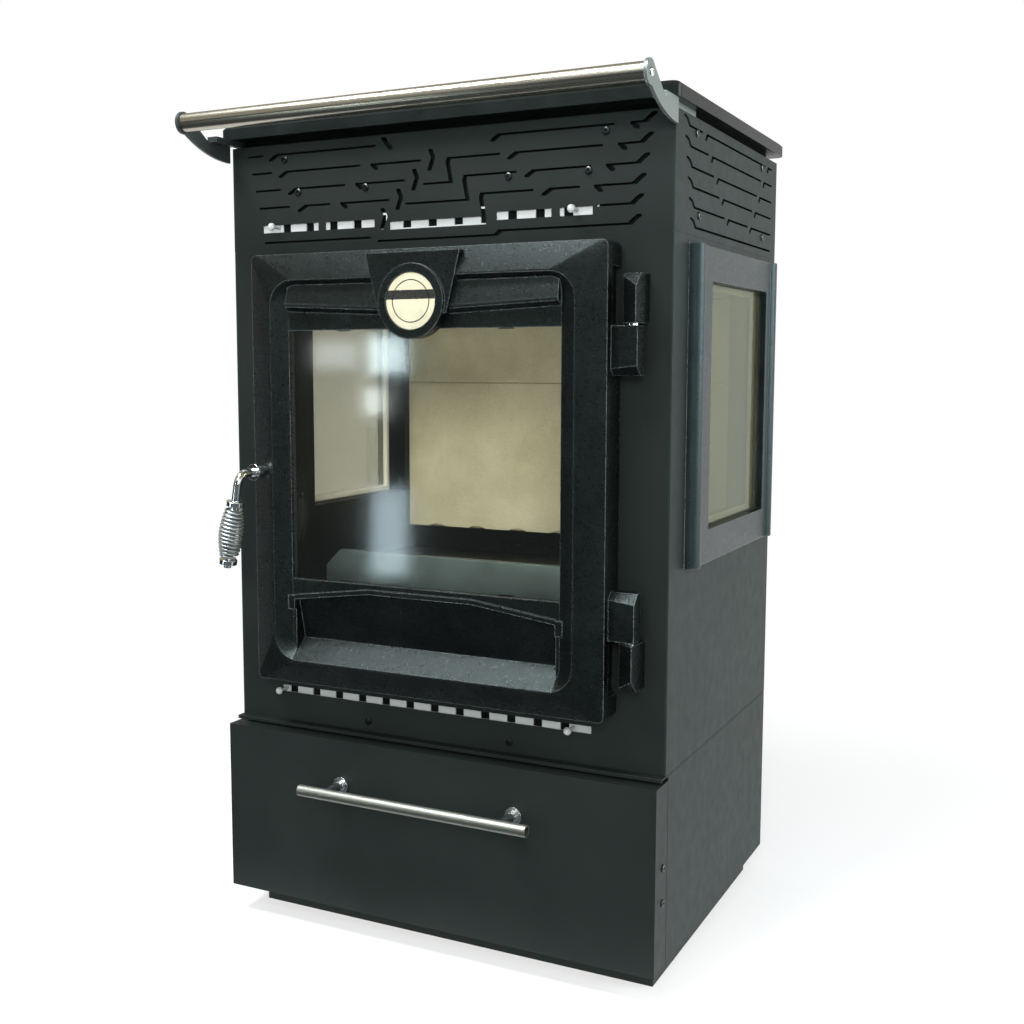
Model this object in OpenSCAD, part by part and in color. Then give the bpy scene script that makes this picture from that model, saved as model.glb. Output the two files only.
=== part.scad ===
// Free-standing wood cookstove with glass on three sides, a storage drawer in its base,
// a hinged cast door, a towel rail and two air sliders. Millimetres, +Z up.
// The origin is on the floor at the middle of the body. The front faces -Y.

/* [Body] */
// Width of the sheet steel body
body_w = 500; // [480:1:540]
// Depth of the sheet steel body
body_d = 366; // [356:1:420]
// Width of the body that shows on each side of the door
side_margin = 50; // [45:1:55]
// Height of the front panel between the door and the grille
door_head = 8.5; // [6:0.5:20]
// Thickness of the body sheet
sheet = 2; // [1.5:0.1:3]
// Air gap between the panels and the top plate
air_gap = 7; // [6:0.5:14]

/* [Top plate] */
// Thickness of the top plate
top_t = 14; // [10:1:24]
// Overhang of the top plate at the sides and back
top_over = 6.5; // [5:0.5:14]
// Overhang of the top plate at the front
top_front_over = 14; // [8:1:24]
// Radius of its four corners
top_corner_r = 9; // [3:1:16]
// Height of the chamfer round its upper edge
top_chamfer = 3; // [1:0.5:5]

/* [Drawer base] */
// Height of the plinth
plinth_h = 30; // [20:1:50]
// How far the plinth stands back at the sides and rear
plinth_inset = 16; // [8:1:30]
// How far the plinth stands back at the front
plinth_front_inset = 18; // [10:1:40]
// Height of the drawer base
base_h = 193; // [180:1:240]
// How far the drawer front stands out from the body
drawer_out = 26; // [20:1:34]
// Depth of the folded drawer front
drawer_pan_d = 33; // [26:1:36]
// Gap above the drawer front
drawer_gap = 6; // [4:0.5:10]
// Height of the drawer tray's walls
tray_h = 130; // [80:1:150]
// Length of the drawer tray
tray_l = 322; // [280:1:330]
// Length of the bar handle
bar_l = 264; // [200:2:400]
// Diameter of the bar handle
bar_d = 12; // [8:0.5:16]
// Distance of the posts from the ends of the bar handle
post_inset = 30; // [20:1:60]
// Stand-off of the bar from the drawer front
bar_standoff = 35; // [25:1:50]
// Drop of the bar below the top of the drawer front
bar_drop = 48; // [30:1:80]

/* [Door] */
// Height of the door
door_h = 451; // [440:1:500]
// Height of the door's lower edge above the body's lower edge
door_rise = 54.5; // [48:0.5:60]
// Depth of the door's side rim
rim_d = 35; // [30:1:40]
// Gap behind the closed door
door_gap = 2; // [1:0.5:3]
// Width of the sloping border round the door
border = 27; // [20:1:32]
// Rise of the sloping border
border_rise = 9; // [5:1:14]
// Width of the recess wall inside the border
recess_w = 19; // [12:1:24]
// Depth of the recess inside the border
recess_d = 10; // [6:1:14]
// Thickness of the door casting
cast_t = 7; // [5:0.5:9]
// Height of the opening for the glass
window_h = 260; // [230:1:280]
// Distance from the top of the door to the opening for the glass
window_drop = 78.5; // [74:0.5:90]
// Thickness of all the glass panes
glass_t = 4; // [3:0.5:5]
// Diameter of the gasket rope
rope_d = 8; // [6:0.5:9]

/* [Medallion] */
// Radius of the round boss
boss_r = 36.5; // [30:0.5:42]
// Radius of the pale disc
disc_r = 27.5; // [22:0.5:32]
// Drop of the boss centre below the top of the door
boss_drop = 52; // [48:0.5:60]
// Width of the shield at its top
shield_top_w = 106; // [90:1:120]
// Width of the shield at its foot
shield_foot_w = 76; // [70:1:84]

/* [Hinges] */
// Diameter of the hinge pins
pin_d = 8; // [6:0.5:10]
// Height of one hinge knuckle
knuckle_h = 46; // [36:1:52]
// Distance of the hinge axis from the edge of the door
hinge_out = 18; // [17:0.5:20]
// Height of the gap between the two knuckles
knuckle_gap = 2; // [1.6:0.1:3]
// Height of the upper hinge's gap above the foot of the door
upper_hinge_z = 374; // [360:1:385]
// Height of the lower hinge's gap above the foot of the door
lower_hinge_z = 77; // [66:1:90]

/* [Handle] */
// Diameter of the handle rod
rod_d = 9; // [7:0.5:11]
// Height of the spindle above the foot of the door
spindle_z = 225.5; // [200:0.5:250]
// Tilt of the grip towards the side
grip_tilt = 10; // [0:1:20]
// Length of the wound grip
grip_l = 57; // [45:1:70]
// Turns of wire in the grip
grip_turns = 13; // [8:1:16]
// Diameter of the grip's wire
wire_d = 3; // [2:0.1:3.2]
// Radius of the wire's centre line in the middle of the grip
grip_r = 12; // [10:0.5:14]
// Radius of the wire's centre line at both ends of the grip
grip_end_r = 8; // [6.5:0.5:9]

/* [Rail] */
// Diameter of the rail tube
rail_d = 18.6; // [14:0.2:22]
// Distance of the rail in front of the body
rail_out = 78; // [60:1:100]
// Height of the rail above the top of the side panels
rail_up = 14.6; // [10:0.2:18]
// Thickness of the rail brackets
bracket_t = 3.5; // [2.5:0.5:4]

/* [Grilles] */
// Distance between the rows of slots
row_pitch = 18.3; // [16:0.1:19]
// Distance of the first row below the top of the panels
row_drop = 10.5; // [9:0.5:14]
// Height of the narrow slots
slot_h = 2.2; // [1.6:0.1:2.6]
// Width of the narrow slots where they slant
slot_w = 4.4; // [3:0.1:5]
// Height of the wide slots in front of the air sliders
window_slot_h = 8; // [6:0.5:8]
// Distance between the holes of the air sliders
port_pitch = 29.6; // [26:0.2:32]
// Width of one hole of the air sliders
port_w = 9.6; // [8:0.2:12]
// Travel of the air sliders
slider_travel = 14; // [10:1:15]

/* [Side windows] */
// Distance of the window frame behind the front of the body
frame_back = 43; // [38:1:60]
// Length of the window frame
frame_l = 297; // [280:1:300]
// Height of the window frame
frame_h = 313; // [290:1:330]
// Drop of the window frame below the top of the panels
frame_drop = 117; // [114:1:130]
// Thickness of the window frame
frame_t = 8; // [6:0.5:10]
// Radius of the half-round bars at both ends of the frame
frame_bar_r = 12.7; // [9:0.1:15]
// Height of the frame's upper and lower rails
frame_rail = 34; // [26:1:40]

/* [Firebox] */
// Distance of the firebox's inner face from the side of the body
fire_gap = 34; // [32:1:45]
// Thickness of the firebox plates
plate_t = 5; // [4:0.5:6]
// Height of the firebox floor above the body's lower edge
hearth_z = 153; // [140:1:158]
// Thickness of the back bricks
brick_t = 30; // [20:1:34]
// Height of the joint between the two back bricks above the hearth
brick_joint = 216; // [150:1:260]
// Inside diameter of the flue collar
flue_d = 120; // [100:1:124]

/* [Hidden] */
$fn = 48;
eps = 0.01;
seat = 0.3;
run_fit = 0.05;

// Heights and planes of the body
front_y = -body_d / 2;
back_y = body_d / 2;
side_x = body_w / 2;
inner_x = side_x - sheet;
body_z = plinth_h + base_h;
grille_h = row_drop + 5 * row_pitch + 8;
grille_z = body_z + door_rise + door_h + door_head;
panel_z = grille_z + grille_h;
panel_x = inner_x;

// A place across the front keeps its share of the panel's half width
pattern_x = 248;
function px(v) = v * panel_x / pattern_x;
top_z = panel_z + air_gap;

// Firebox
fire_half_w = side_x - fire_gap;
hearth = body_z + hearth_z;
wall_y1 = back_y - 15;
brick_y = wall_y1 - plate_t - brick_t;
rail_top = hearth + 29;
roof_z = panel_z - 14;
flue_z = roof_z - 2 - flue_d / 2;
baffle_t = brick_t / 2;
baffle_z = flue_z - flue_d / 2 - 2 - baffle_t;
front_plate_y = front_y + sheet + 8;
fire_front_y = front_plate_y + plate_t;

// Door planes: the back, the edge of the rim, the ridge and the recess
door_x = side_x - side_margin;
door_z0 = body_z + door_rise;
door_z1 = door_z0 + door_h;
door_back = front_y - door_gap;
door_edge = door_back - rim_d;
door_ridge = door_edge - border_rise;
recess_y = door_ridge + recess_d;
plate_back = recess_y + cast_t;
ridge_x = door_x - border;
ridge_z0 = door_z0 + border - 2.5;
ridge_z1 = door_z1 - border + 1.5;
window_x = ridge_x - recess_w;
window_z1 = door_z1 - window_drop;
window_z0 = window_z1 - window_h;
glass_lap = 9;
gasket_x = window_x + 18;
gasket_z0 = window_z0 - 18;
gasket_z1 = door_z1 - 29;
lip_w = 6;
lip_y = door_back - 5;
boss_z = door_z1 - boss_drop;
boss_y = door_ridge - 5;

// Hinge axis and handle spindle
hinge_x = door_x + hinge_out;
hinge_y = front_y - 20;
spindle_x = -(gasket_x + 13.5);
spindle_h = door_z0 + spindle_z;
cam_r = 8;
cam_y = door_back - 12;
boss_len = 14;
rod_reach = 24;
rod_bend = 12;
grip_top = 34;

// Air sliders
slider_t = 1.5;
slider_y0 = front_y + sheet + seat;
plate_y0 = slider_y0 + slider_t + seat;
upper_row_z = panel_z - row_drop - 4 * row_pitch - 3;
lower_row_z = body_z + 35;
knob_out = 15;
knob_half = panel_x - 76;
knob_shift = -19;

// Side window opening
frame_y0 = front_y + frame_back;
frame_y1 = frame_y0 + frame_l;
frame_z1 = panel_z - frame_drop;
frame_z0 = frame_z1 - frame_h;
open_y0 = frame_y0 + 54;
open_y1 = frame_y1 - 35;
open_z0 = frame_z0 + frame_rail;
open_z1 = frame_z1 - frame_rail;
pane_lap = 6;

steel = [0.2, 0.21, 0.22];
cast = [0.13, 0.14, 0.15];
bright = [0.75, 0.76, 0.77];
fire_clay = [0.72, 0.67, 0.52];

// A box given by its two corners
module span(a, b) {
  translate(a) cube(b - a);
}

// Both sides of the body: the child is drawn at +X and mirrored to -X
module both_sides() {
  children();
  mirror([1, 0, 0]) children();
}

// A flat shape drawn in X and Z, standing from y0 to y1
module upright(y0, y1) {
  translate([0, y1, 0]) rotate([90, 0, 0]) linear_extrude(y1 - y0) children();
}

// A flat shape drawn in Y and Z, reaching from x0 to x1
module sideways(x0, x1) {
  translate([x0, 0, 0]) rotate([90, 0, 90]) linear_extrude(x1 - x0) children();
}

// A rectangle with rounded corners between two corner points
module round_rect(a, b, r) {
  hull() for (x = [a[0] + r, b[0] - r], y = [a[1] + r, b[1] - r]) translate([x, y]) circle(r, $fn = 32);
}

// The same outline without a hull, exact for cuts and plates
module plain_round_rect(a, b, r) {
  translate([a[0] + r, a[1]]) square([b[0] - a[0] - 2 * r, b[1] - a[1]]);
  translate([a[0], a[1] + r]) square([b[0] - a[0], b[1] - a[1] - 2 * r]);
  for (x = [a[0] + r, b[0] - r], y = [a[1] + r, b[1] - r]) translate([x, y]) circle(r);
}

// A cut slot: a small rectangle, slot_w wide and slot_h high, drawn along a line of points.
// It is thin where the line runs level and wide where the line slants.
module slot_run(p, q) {
  a = slot_w / 2;
  b = q[1] >= p[1] ? slot_h / 2 : -slot_h / 2;
  polygon([p + [-a, -b], p + [a, -b], q + [a, -b], q + [a, b], q + [-a, b], p + [-a, b]]);
}
module cut_slot(points) {
  for (i = [0 : len(points) - 2]) {
    p = points[i];
    q = points[i + 1];
    if (q[0] > p[0]) slot_run(p, q);
    if (q[0] < p[0]) slot_run(q, p);
  }
}

// Plinth: a folded pan with a flat underside
module plinth() {
  wall = 3;
  x = side_x - plinth_inset;
  y0 = front_y + plinth_front_inset;
  y1 = back_y - plinth_inset;
  color(steel) difference() {
    span([-x, y0, 0], [x, y1, plinth_h]);
    span([-x + wall, y0 + wall, wall], [x - wall, y1 - wall, plinth_h + 1]);
  }
}

// Drawer base: floor, two sides, back and top, open to the front
base_y0 = front_y - drawer_out + drawer_pan_d + 1;
module base_floor() {
  color(steel) span([-inner_x, base_y0, plinth_h], [inner_x, back_y - sheet, plinth_h + sheet]);
}
module base_side() {
  color(steel) span([inner_x, base_y0, plinth_h], [side_x, back_y, body_z - sheet]);
}
module base_back() {
  color(steel) span([-inner_x, back_y - sheet, plinth_h], [inner_x, back_y, body_z - sheet]);
}
// The top of the base has a hem that shows as a thin lip above the drawer
module base_top() {
  lip = 11;
  hem = 4;
  color(steel) {
    span([-side_x, front_y - lip, body_z - sheet], [side_x, back_y, body_z]);
    span([-side_x, front_y - lip, body_z - hem], [side_x, front_y - lip + sheet, body_z - sheet + eps]);
  }
}

// Drawer runners: a rail on each side of the base that carries the tray's flange
runner_w = 18;
runner_z = plinth_h + 66;
runner_h = 8;
module drawer_runners() {
  color(bright) both_sides()
    span([inner_x - runner_w, base_y0 + 6, runner_z], [inner_x, back_y - 10, runner_z + runner_h]);
}

// Drawer front: a folded pan, open at the back
drawer_z0 = plinth_h + 1;
drawer_z1 = body_z - drawer_gap;
drawer_y0 = front_y - drawer_out;
module drawer_front() {
  color(steel) difference() {
    span([-side_x, drawer_y0, drawer_z0], [side_x, drawer_y0 + drawer_pan_d, drawer_z1]);
    span([-inner_x, drawer_y0 + sheet, drawer_z0 + sheet],
      [inner_x, drawer_y0 + drawer_pan_d + 1, drawer_z1 - sheet]);
    for (x = [-1, 1]) translate([x * post_x, drawer_y0 + 3, bar_z]) rotate([90, 0, 0])
      cylinder(r = post_screw_r + run_fit, h = 4);
    both_sides() for (z = drawer_screw_z) translate([side_x - 3, drawer_screw_y, z]) rotate([0, 90, 0])
      cylinder(r = screw_r + run_fit, h = 4);
  }
}
// Tray with a flange along each side that rides on the runners
tray_x = inner_x - runner_w - seat;
tray_z = plinth_h + 12;
flange_t = 3;
module drawer_tray() {
  wall = 2;
  y0 = drawer_y0 + sheet;
  y1 = y0 + tray_l;
  z1 = tray_z + tray_h;
  color(bright) {
    difference() {
      span([-tray_x, y0, tray_z], [tray_x, y1, z1]);
      span([-tray_x + wall, y0 + wall, tray_z + wall], [tray_x - wall, y1 - wall, z1 + 1]);
      for (x = [-1, 1]) translate([x * post_x, y0 + 3, bar_z]) rotate([90, 0, 0])
        cylinder(r = post_screw_r + run_fit, h = 4);
    }
    both_sides() span([tray_x - eps, y0 + drawer_pan_d, runner_z + runner_h + seat],
      [inner_x - 3, y1, runner_z + runner_h + seat + flange_t]);
  }
}

// Bar handle on two posts with round rosettes
bar_z = drawer_z1 - bar_drop;
bar_y = drawer_y0 - bar_standoff;
post_r = 5;
post_x = bar_l / 2 - post_inset;
post_screw_r = 2.5;
module drawer_bar() {
  bore = bar_d / 2 - 1.5;
  color(bright) difference() {
    translate([-bar_l / 2, bar_y, bar_z]) rotate([0, 90, 0]) cylinder(d = bar_d, h = bar_l);
    for (x = [-bar_l / 2 - 1, post_x]) translate([x, bar_y, bar_z]) rotate([0, 90, 0])
      cylinder(r = bore, h = post_inset + 1);
    for (x = [-1, 1]) translate([x * post_x, bar_y, bar_z]) rotate([-90, 0, 0])
      cylinder(r = post_r, h = bar_d);
  }
}
module drawer_posts() {
  rosette = [9, 3.5];
  color(bright) for (x = [-1, 1]) translate([x * post_x, 0, bar_z]) rotate([-90, 0, 0]) {
    translate([0, 0, bar_y]) cylinder(r = post_r, h = bar_standoff - eps);
    translate([0, 0, drawer_y0 - rosette[1]]) cylinder(r = rosette[0], h = rosette[1]);
    translate([0, 0, drawer_y0 - 0.5]) cylinder(r = post_screw_r, h = 2 * sheet + 1.5);
  }
}

// One round-headed screw; its head sits on z = 0 and its shank runs to z = -length
screw_r = 1.8;
screw_head_r = 3.4;
screw_head_h = 1.8;
screw_dome_r = (pow(screw_head_r, 2) + pow(screw_head_h * 0.6, 2)) / (1.2 * screw_head_h);
module screw(length) {
  cylinder(r = screw_head_r, h = screw_head_h * 0.4);
  translate([0, 0, screw_head_h * 0.4 - eps]) intersection() {
    cylinder(r = screw_head_r, h = screw_head_h * 0.6);
    translate([0, 0, screw_head_h * 0.6 - screw_dome_r]) sphere(screw_dome_r);
  }
  translate([0, 0, -length]) cylinder(r = screw_r, h = length + 0.2);
}
drawer_screw_rise = [69, 104];
drawer_screw_z = [for (rise = drawer_screw_rise) plinth_h + rise];
drawer_screw_y = front_y - 5;
module drawer_screws() {
  color(bright) both_sides() for (z = drawer_screw_z)
    translate([side_x, drawer_screw_y, z]) rotate([0, 90, 0]) screw(sheet + 2);
}

// Side panel with the opening for its window
module side_panel() {
  color(steel) difference() {
    span([inner_x, front_y, body_z], [side_x, back_y, grille_z]);
    span([inner_x - 1, open_y0 - pane_lap - 1, open_z0 - pane_lap - 1],
      [side_x + 1, open_y1 + pane_lap + 1, open_z1 + pane_lap + 1]);
  }
}

// Rows of slots in the side grille; two breaks step towards each other from row to row
side_tip = front_y + 25;
side_tail = back_y - 24;
side_break_a = front_y + 88;
side_break_b = side_tail - 20;
nick = 5;
// The upturned end of a row: it leaves the row at x and climbs towards dir
function upturn(x, z, dir) = [[x, z], [x + dir * 5, z + 4.5], [x + dir * 9, z + 7.3]];
function row_z(i) = panel_z - row_drop - i * row_pitch;
module side_slots() {
  for (i = [0 : 5]) {
    z = row_z(i);
    tip = side_tip + 4.5 * i;
    a = side_break_a + i * 19.5;
    b = side_break_b - i * 17;
    cut_slot([[tip, z + 7.3], [tip + 8, z + 5.5], [tip + 15, z], [i < 5 ? a - 9 : side_tail, z]]);
    if (i < 5) {
      cut_slot([[a + 3, z - nick], [a + 8, z], [b - 9, z]]);
      cut_slot([[b + 2, z - nick], [b + 7, z], [side_tail, z]]);
    }
  }
}
side_screws = [[62, -14], [300, -14], [72, -90], [306, -90]];
module side_grille() {
  color(steel) difference() {
    span([inner_x, front_y, grille_z], [side_x, back_y, panel_z]);
    sideways(inner_x - 1, side_x + 1) side_slots();
    for (s = side_screws) translate([inner_x - 1, front_y + s[0], panel_z + s[1]]) rotate([0, 90, 0])
      cylinder(r = screw_r + run_fit, h = sheet + 2);
  }
}

// Front panel with the door opening and the lower air slot
mouth_x = gasket_x + lip_w / 2 + 3;
mouth_z0 = gasket_z0 - lip_w / 2 - 3;
mouth_z1 = gasket_z1 + lip_w / 2 + 3;
lower_slot = [-knob_half + knob_shift - 5, knob_half + knob_shift + slider_travel + 6];
module front_panel() {
  color(steel) difference() {
    span([-panel_x, front_y, body_z], [panel_x, front_y + sheet, grille_z]);
    span([-mouth_x, front_y - 1, mouth_z0], [mouth_x, front_y + sheet + 1, mouth_z1]);
    span([lower_slot[0], front_y - 1, lower_row_z - window_slot_h / 2],
      [lower_slot[1], front_y + sheet + 1, lower_row_z + window_slot_h / 2]);
    for (s = lower_screws) translate([s[0], front_y + sheet + 1, s[1]]) rotate([90, 0, 0])
      cylinder(r = screw_r + run_fit, h = sheet + 2);
  }
}
lower_screws = [[-px(84), body_z + 11], [px(84), body_z + 11]];

// Slots right of the middle: each row ends in an upturn, and three rows step down into the middle
module right_slots() {
  for (i = [0 : 3]) {
    z = row_z(i);
    middle = px(64 + 18.3 * i);
    outer = px(208 - 11.8 * i);
    cut_slot([[middle, z - nick], [middle + 8, z], [px(188 - 11.3 * i), z]]);
    cut_slot([[outer + nick, z - nick], [outer, z], [px(221 - 3.3 * i), z]]);
    cut_slot(upturn(px(221 - 3.3 * i), z, 1));
  }
  for (i = [1 : 3]) {
    z = row_z(i);
    stair = px(14.5 + 18.5 * (i - 1));
    foot = i < 3 ? row_z(i + 1) - nick : row_z(4) - 6;
    cut_slot([[stair + 4, foot], [stair, z - 4], [stair + 1.5, z], [px(70 + 18 * (i - 1)), z]]);
    if (i < 3) cut_slot([[px(9 - 20.5 * i), foot], [stair + 4, foot]]);
  }
  cut_slot([[knob_end + 6, row_z(4)], [px(209), row_z(4)]]);
  cut_slot(upturn(px(209), row_z(4), 1));
}
// Slots left of the middle: three breaks in each row, and a flight of short bent slots
module left_slots() {
  for (i = [0 : 3]) {
    z = row_z(i);
    middle = px(-200 + 12 * i);
    cut_slot([[px(-227 + 4.5 * i), z], [px(-212 + 11.3 * i), z]]);
    cut_slot([[middle, z - nick], [middle + 9, z], [px(-71 - 18.7 * i), z]]);
    if (i > 0) cut_slot([[px(-54.5 - 18.7 * i) + nick, z - nick + 0.5], [px(-54.5 - 18.7 * i), z],
      [px(0.5 - 18.7 * i), z]]);
  }
  for (i = [1 : 4]) {
    z = row_z(i);
    bend = px(17 - 18.7 * i);
    cut_slot([[bend - 3.5, z + 9.5], [bend, z + 2], [bend - 4.5, z - 9.5]]);
  }
  cut_slot([[px(-60), row_z(0) + 7], [px(-51), row_z(0) - 4]]);
}
// The lowest row drops in the middle
module foot_slot() {
  z = row_z(5);
  cut_slot([[px(-207), z], [px(-78), z]]);
  cut_slot([[px(-65), z - 4], [px(68), z - 4], [px(68) + nick, z], [px(207), z]]);
  cut_slot(upturn(px(207), z, 1));
}
// Wide slots in front of the upper slider, as start and end in X and a drop in Z
knob_end = knob_half + knob_shift + slider_travel + 2.5;
wide_slots = [[px(-212), px(-140), 0], [px(-132), px(-71), 0], [px(-53.5), px(57), 3.5], [px(68), px(127), 0],
  [px(135), knob_end, 0]];
grille_screws = [for (x = [182, -182]) [px(x), -16], for (x = [165, -165, 81.5, -81.5]) [px(x), -51]];
module front_grille() {
  color(steel) difference() {
    span([-panel_x, front_y, grille_z], [panel_x, front_y + sheet, panel_z]);
    upright(front_y - 1, front_y + sheet + 1) {
      right_slots();
      left_slots();
      foot_slot();
      for (s = wide_slots) translate([s[0], upper_row_z - 1 - s[2] - window_slot_h / 2])
        square([s[1] - s[0], window_slot_h]);
    }
    for (s = grille_screws) translate([s[0], front_y + sheet + 1, panel_z + s[1]]) rotate([90, 0, 0])
      cylinder(r = screw_r + run_fit, h = sheet + 2);
  }
}

// Back panel with the hole for the flue and a row of vents
module back_panel() {
  vent = [5, 60];
  color(steel) difference() {
    span([-panel_x, back_y - sheet, body_z], [panel_x, back_y, panel_z]);
    translate([0, back_y + 1, flue_z]) rotate([90, 0, 0]) cylinder(d = flue_d + 20, h = sheet + 2);
    for (i = [-6 : 6]) span([i * 28 - vent[0] / 2, back_y - sheet - 1, body_z + 40],
      [i * 28 + vent[0] / 2, back_y + 1, body_z + 40 + vent[1]]);
  }
}
module body_floor() {
  color(steel) span([-inner_x, front_y + sheet, body_z], [inner_x, back_y - sheet, body_z + sheet]);
}

// Set-back frame that carries the top plate above the panels
web_x = side_x - 10;
module top_frame() {
  flange = 3;
  y0 = front_y + 10;
  y1 = back_y - 10;
  color(cast) {
    difference() {
      span([-inner_x, front_y + sheet, panel_z - flange], [inner_x, back_y - sheet, panel_z]);
      span([-web_x + sheet, y0 + sheet, panel_z - 2 * flange], [web_x - sheet, y1 - sheet, panel_z + 1]);
    }
    difference() {
      span([-web_x, y0, panel_z - eps], [web_x, y1, top_z]);
      span([-web_x + sheet, y0 + sheet, panel_z - 1], [web_x - sheet, y1 - sheet, top_z + 1]);
    }
  }
}

// Top plate with round corners and a chamfered upper edge
module top_plate() {
  a = [-side_x - top_over, front_y - top_front_over];
  b = [side_x + top_over, back_y + top_over];
  in = [top_chamfer, top_chamfer];
  color(cast) {
    translate([0, 0, top_z]) linear_extrude(top_t - top_chamfer) plain_round_rect(a, b, top_corner_r);
    hull() {
      translate([0, 0, top_z + top_t - top_chamfer]) linear_extrude(eps) round_rect(a, b, top_corner_r);
      translate([0, 0, top_z + top_t - eps]) linear_extrude(eps) round_rect(a + in, b - in, top_corner_r - 2);
    }
  }
}

// Firebox side wall with a tunnel that carries the side pane
tunnel_x = side_x - glass_t - seat;
module firebox_side() {
  wall = 4;
  color(cast) difference() {
    union() {
      span([fire_half_w, fire_front_y, body_z + sheet], [fire_half_w + plate_t, wall_y1, roof_z]);
      span([fire_half_w, open_y0 - wall, open_z0 - wall], [tunnel_x, open_y1 + wall, open_z1 + wall]);
    }
    span([fire_half_w - 1, open_y0, open_z0], [side_x, open_y1, open_z1]);
  }
}
module firebox_back_wall() {
  color(cast) difference() {
    span([-fire_half_w, wall_y1 - plate_t, body_z + sheet], [fire_half_w, wall_y1, roof_z]);
    translate([0, wall_y1 + 1, flue_z]) rotate([90, 0, 0]) cylinder(d = flue_d - 6, h = plate_t + 2);
  }
}
// Floor with a stepped opening for the ash pan and the grate
grate_w = 260;
grate_l = 150;
grate_y = -20;
step_w = 10;
module firebox_floor() {
  ledge = 3;
  color(cast) difference() {
    span([-fire_half_w, fire_front_y, hearth - plate_t * 2], [fire_half_w, wall_y1 - plate_t, hearth]);
    translate([-grate_w / 2 - seat, grate_y - grate_l / 2 - seat, hearth - plate_t * 2 + ledge])
      cube([grate_w + 2 * seat, grate_l + 2 * seat, plate_t * 2]);
    translate([-grate_w / 2 + step_w, grate_y - grate_l / 2 + step_w, hearth - plate_t * 2 - 1])
      cube([grate_w - 2 * step_w, grate_l - 2 * step_w, plate_t * 2 + 2]);
  }
}
module grate() {
  slot = [9, 52];
  pitch = 18;
  z0 = hearth - plate_t * 2 + 5;
  columns = floor((grate_w - 30) / pitch / 2);
  color(cast) difference() {
    span([-grate_w / 2, grate_y - grate_l / 2, z0], [grate_w / 2, grate_y + grate_l / 2, hearth]);
    for (i = [-columns : columns], y = [-1, 1])
      translate([i * pitch - slot[0] / 2, grate_y + y * 32 - slot[1] / 2, z0 - 1])
        cube([slot[0], slot[1], plate_t * 2]);
  }
}
// Ash pan that hangs by its flange on the step below the grate
module ash_pan() {
  wall = 1.5;
  depth = 62;
  z1 = hearth - plate_t * 2 + 3;
  x = grate_w / 2 - step_w - 2;
  y = grate_l / 2 - step_w - 2;
  color(steel) translate([0, grate_y, 0]) difference() {
    union() {
      span([-x, -y, z1 - depth], [x, y, z1]);
      span([-grate_w / 2 + 2, -grate_l / 2 + 2, z1], [grate_w / 2 - 2, grate_l / 2 - 2, z1 + wall]);
    }
    span([-x + wall, -y + wall, z1 - depth + wall], [x - wall, y - wall, z1 + wall + 1]);
  }
}
module firebox_roof() {
  x = fire_half_w + plate_t;
  color(cast) span([-x, front_plate_y, roof_z], [x, wall_y1, roof_z + plate_t]);
}
// Front wall of the firebox with the lip that the door's rope seals on
module firebox_front() {
  x = fire_half_w + plate_t;
  color(cast) difference() {
    union() {
      span([-x, front_plate_y, body_z + sheet], [x, fire_front_y, roof_z]);
      span([-gasket_x - lip_w / 2, lip_y, gasket_z0 - lip_w / 2],
        [gasket_x + lip_w / 2, front_plate_y + eps, gasket_z1 + lip_w / 2]);
    }
    span([-gasket_x + lip_w / 2, lip_y - 1, gasket_z0 + lip_w / 2],
      [gasket_x - lip_w / 2, fire_front_y + 1, gasket_z1 - lip_w / 2]);
  }
}
// Baffle that sends the smoke forward before it reaches the flue
module baffle_plate() {
  gap = 70;
  ledge = 8;
  color(fire_clay) span([-fire_half_w + seat, fire_front_y + gap, baffle_z],
    [fire_half_w - seat, wall_y1 - plate_t, baffle_z + baffle_t]);
  color(cast) both_sides() span([fire_half_w - ledge, fire_front_y + gap, baffle_z - 4],
    [fire_half_w, wall_y1 - plate_t, baffle_z]);
}
// Back bricks: two boards with a joint between them
module back_brick_lower() {
  bumps = 3;
  color(fire_clay) difference() {
    span([-fire_half_w + seat, brick_y, rail_top],
      [fire_half_w - seat, wall_y1 - plate_t, hearth + brick_joint]);
    for (i = [-bumps : bumps]) translate([i * 58, brick_y - 1, rail_top - 21]) rotate([-90, 0, 0])
      cylinder(r = 24, h = 8);
  }
}
module back_brick_upper() {
  color(fire_clay) span([-fire_half_w + seat, brick_y, hearth + brick_joint + seat],
    [fire_half_w - seat, wall_y1 - plate_t, baffle_z - 4]);
}
// Cast strip with air holes below the back bricks
module rear_air_rail() {
  hole_pitch = 18.2;
  hole_r = 3;
  wall = 6;
  y0 = brick_y - 3;
  color(cast) difference() {
    span([-fire_half_w + seat, y0, hearth], [fire_half_w - seat, wall_y1 - plate_t, rail_top]);
    span([-fire_half_w + wall, y0 + wall, hearth - 1],
      [fire_half_w - wall, wall_y1 - plate_t - wall, rail_top - wall]);
    for (i = [-4 : 4]) translate([i * hole_pitch, y0 + wall + 1, hearth + 14]) rotate([90, 0, 0])
      cylinder(r = hole_r, h = wall + 2);
  }
}
// Log retainer behind the glass: a bar with a sloping face and drawn-in ends
module log_retainer() {
  y0 = fire_front_y + 20;
  h = 35;
  foot = 26;
  half = window_x + 6;
  color(cast) intersection() {
    sideways(-half, half) polygon([[y0, hearth], [y0 + foot, hearth], [y0 + foot, hearth + 8],
      [y0 + 15, hearth + h], [y0 + 8, hearth + h], [y0, hearth + 18]]);
    upright(y0 - 1, y0 + foot + 1) polygon([[-half, hearth], [half, hearth], [half, hearth + 18],
      [half - 14, hearth + h + 1], [-half + 14, hearth + h + 1], [-half, hearth + 18]]);
  }
}

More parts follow.
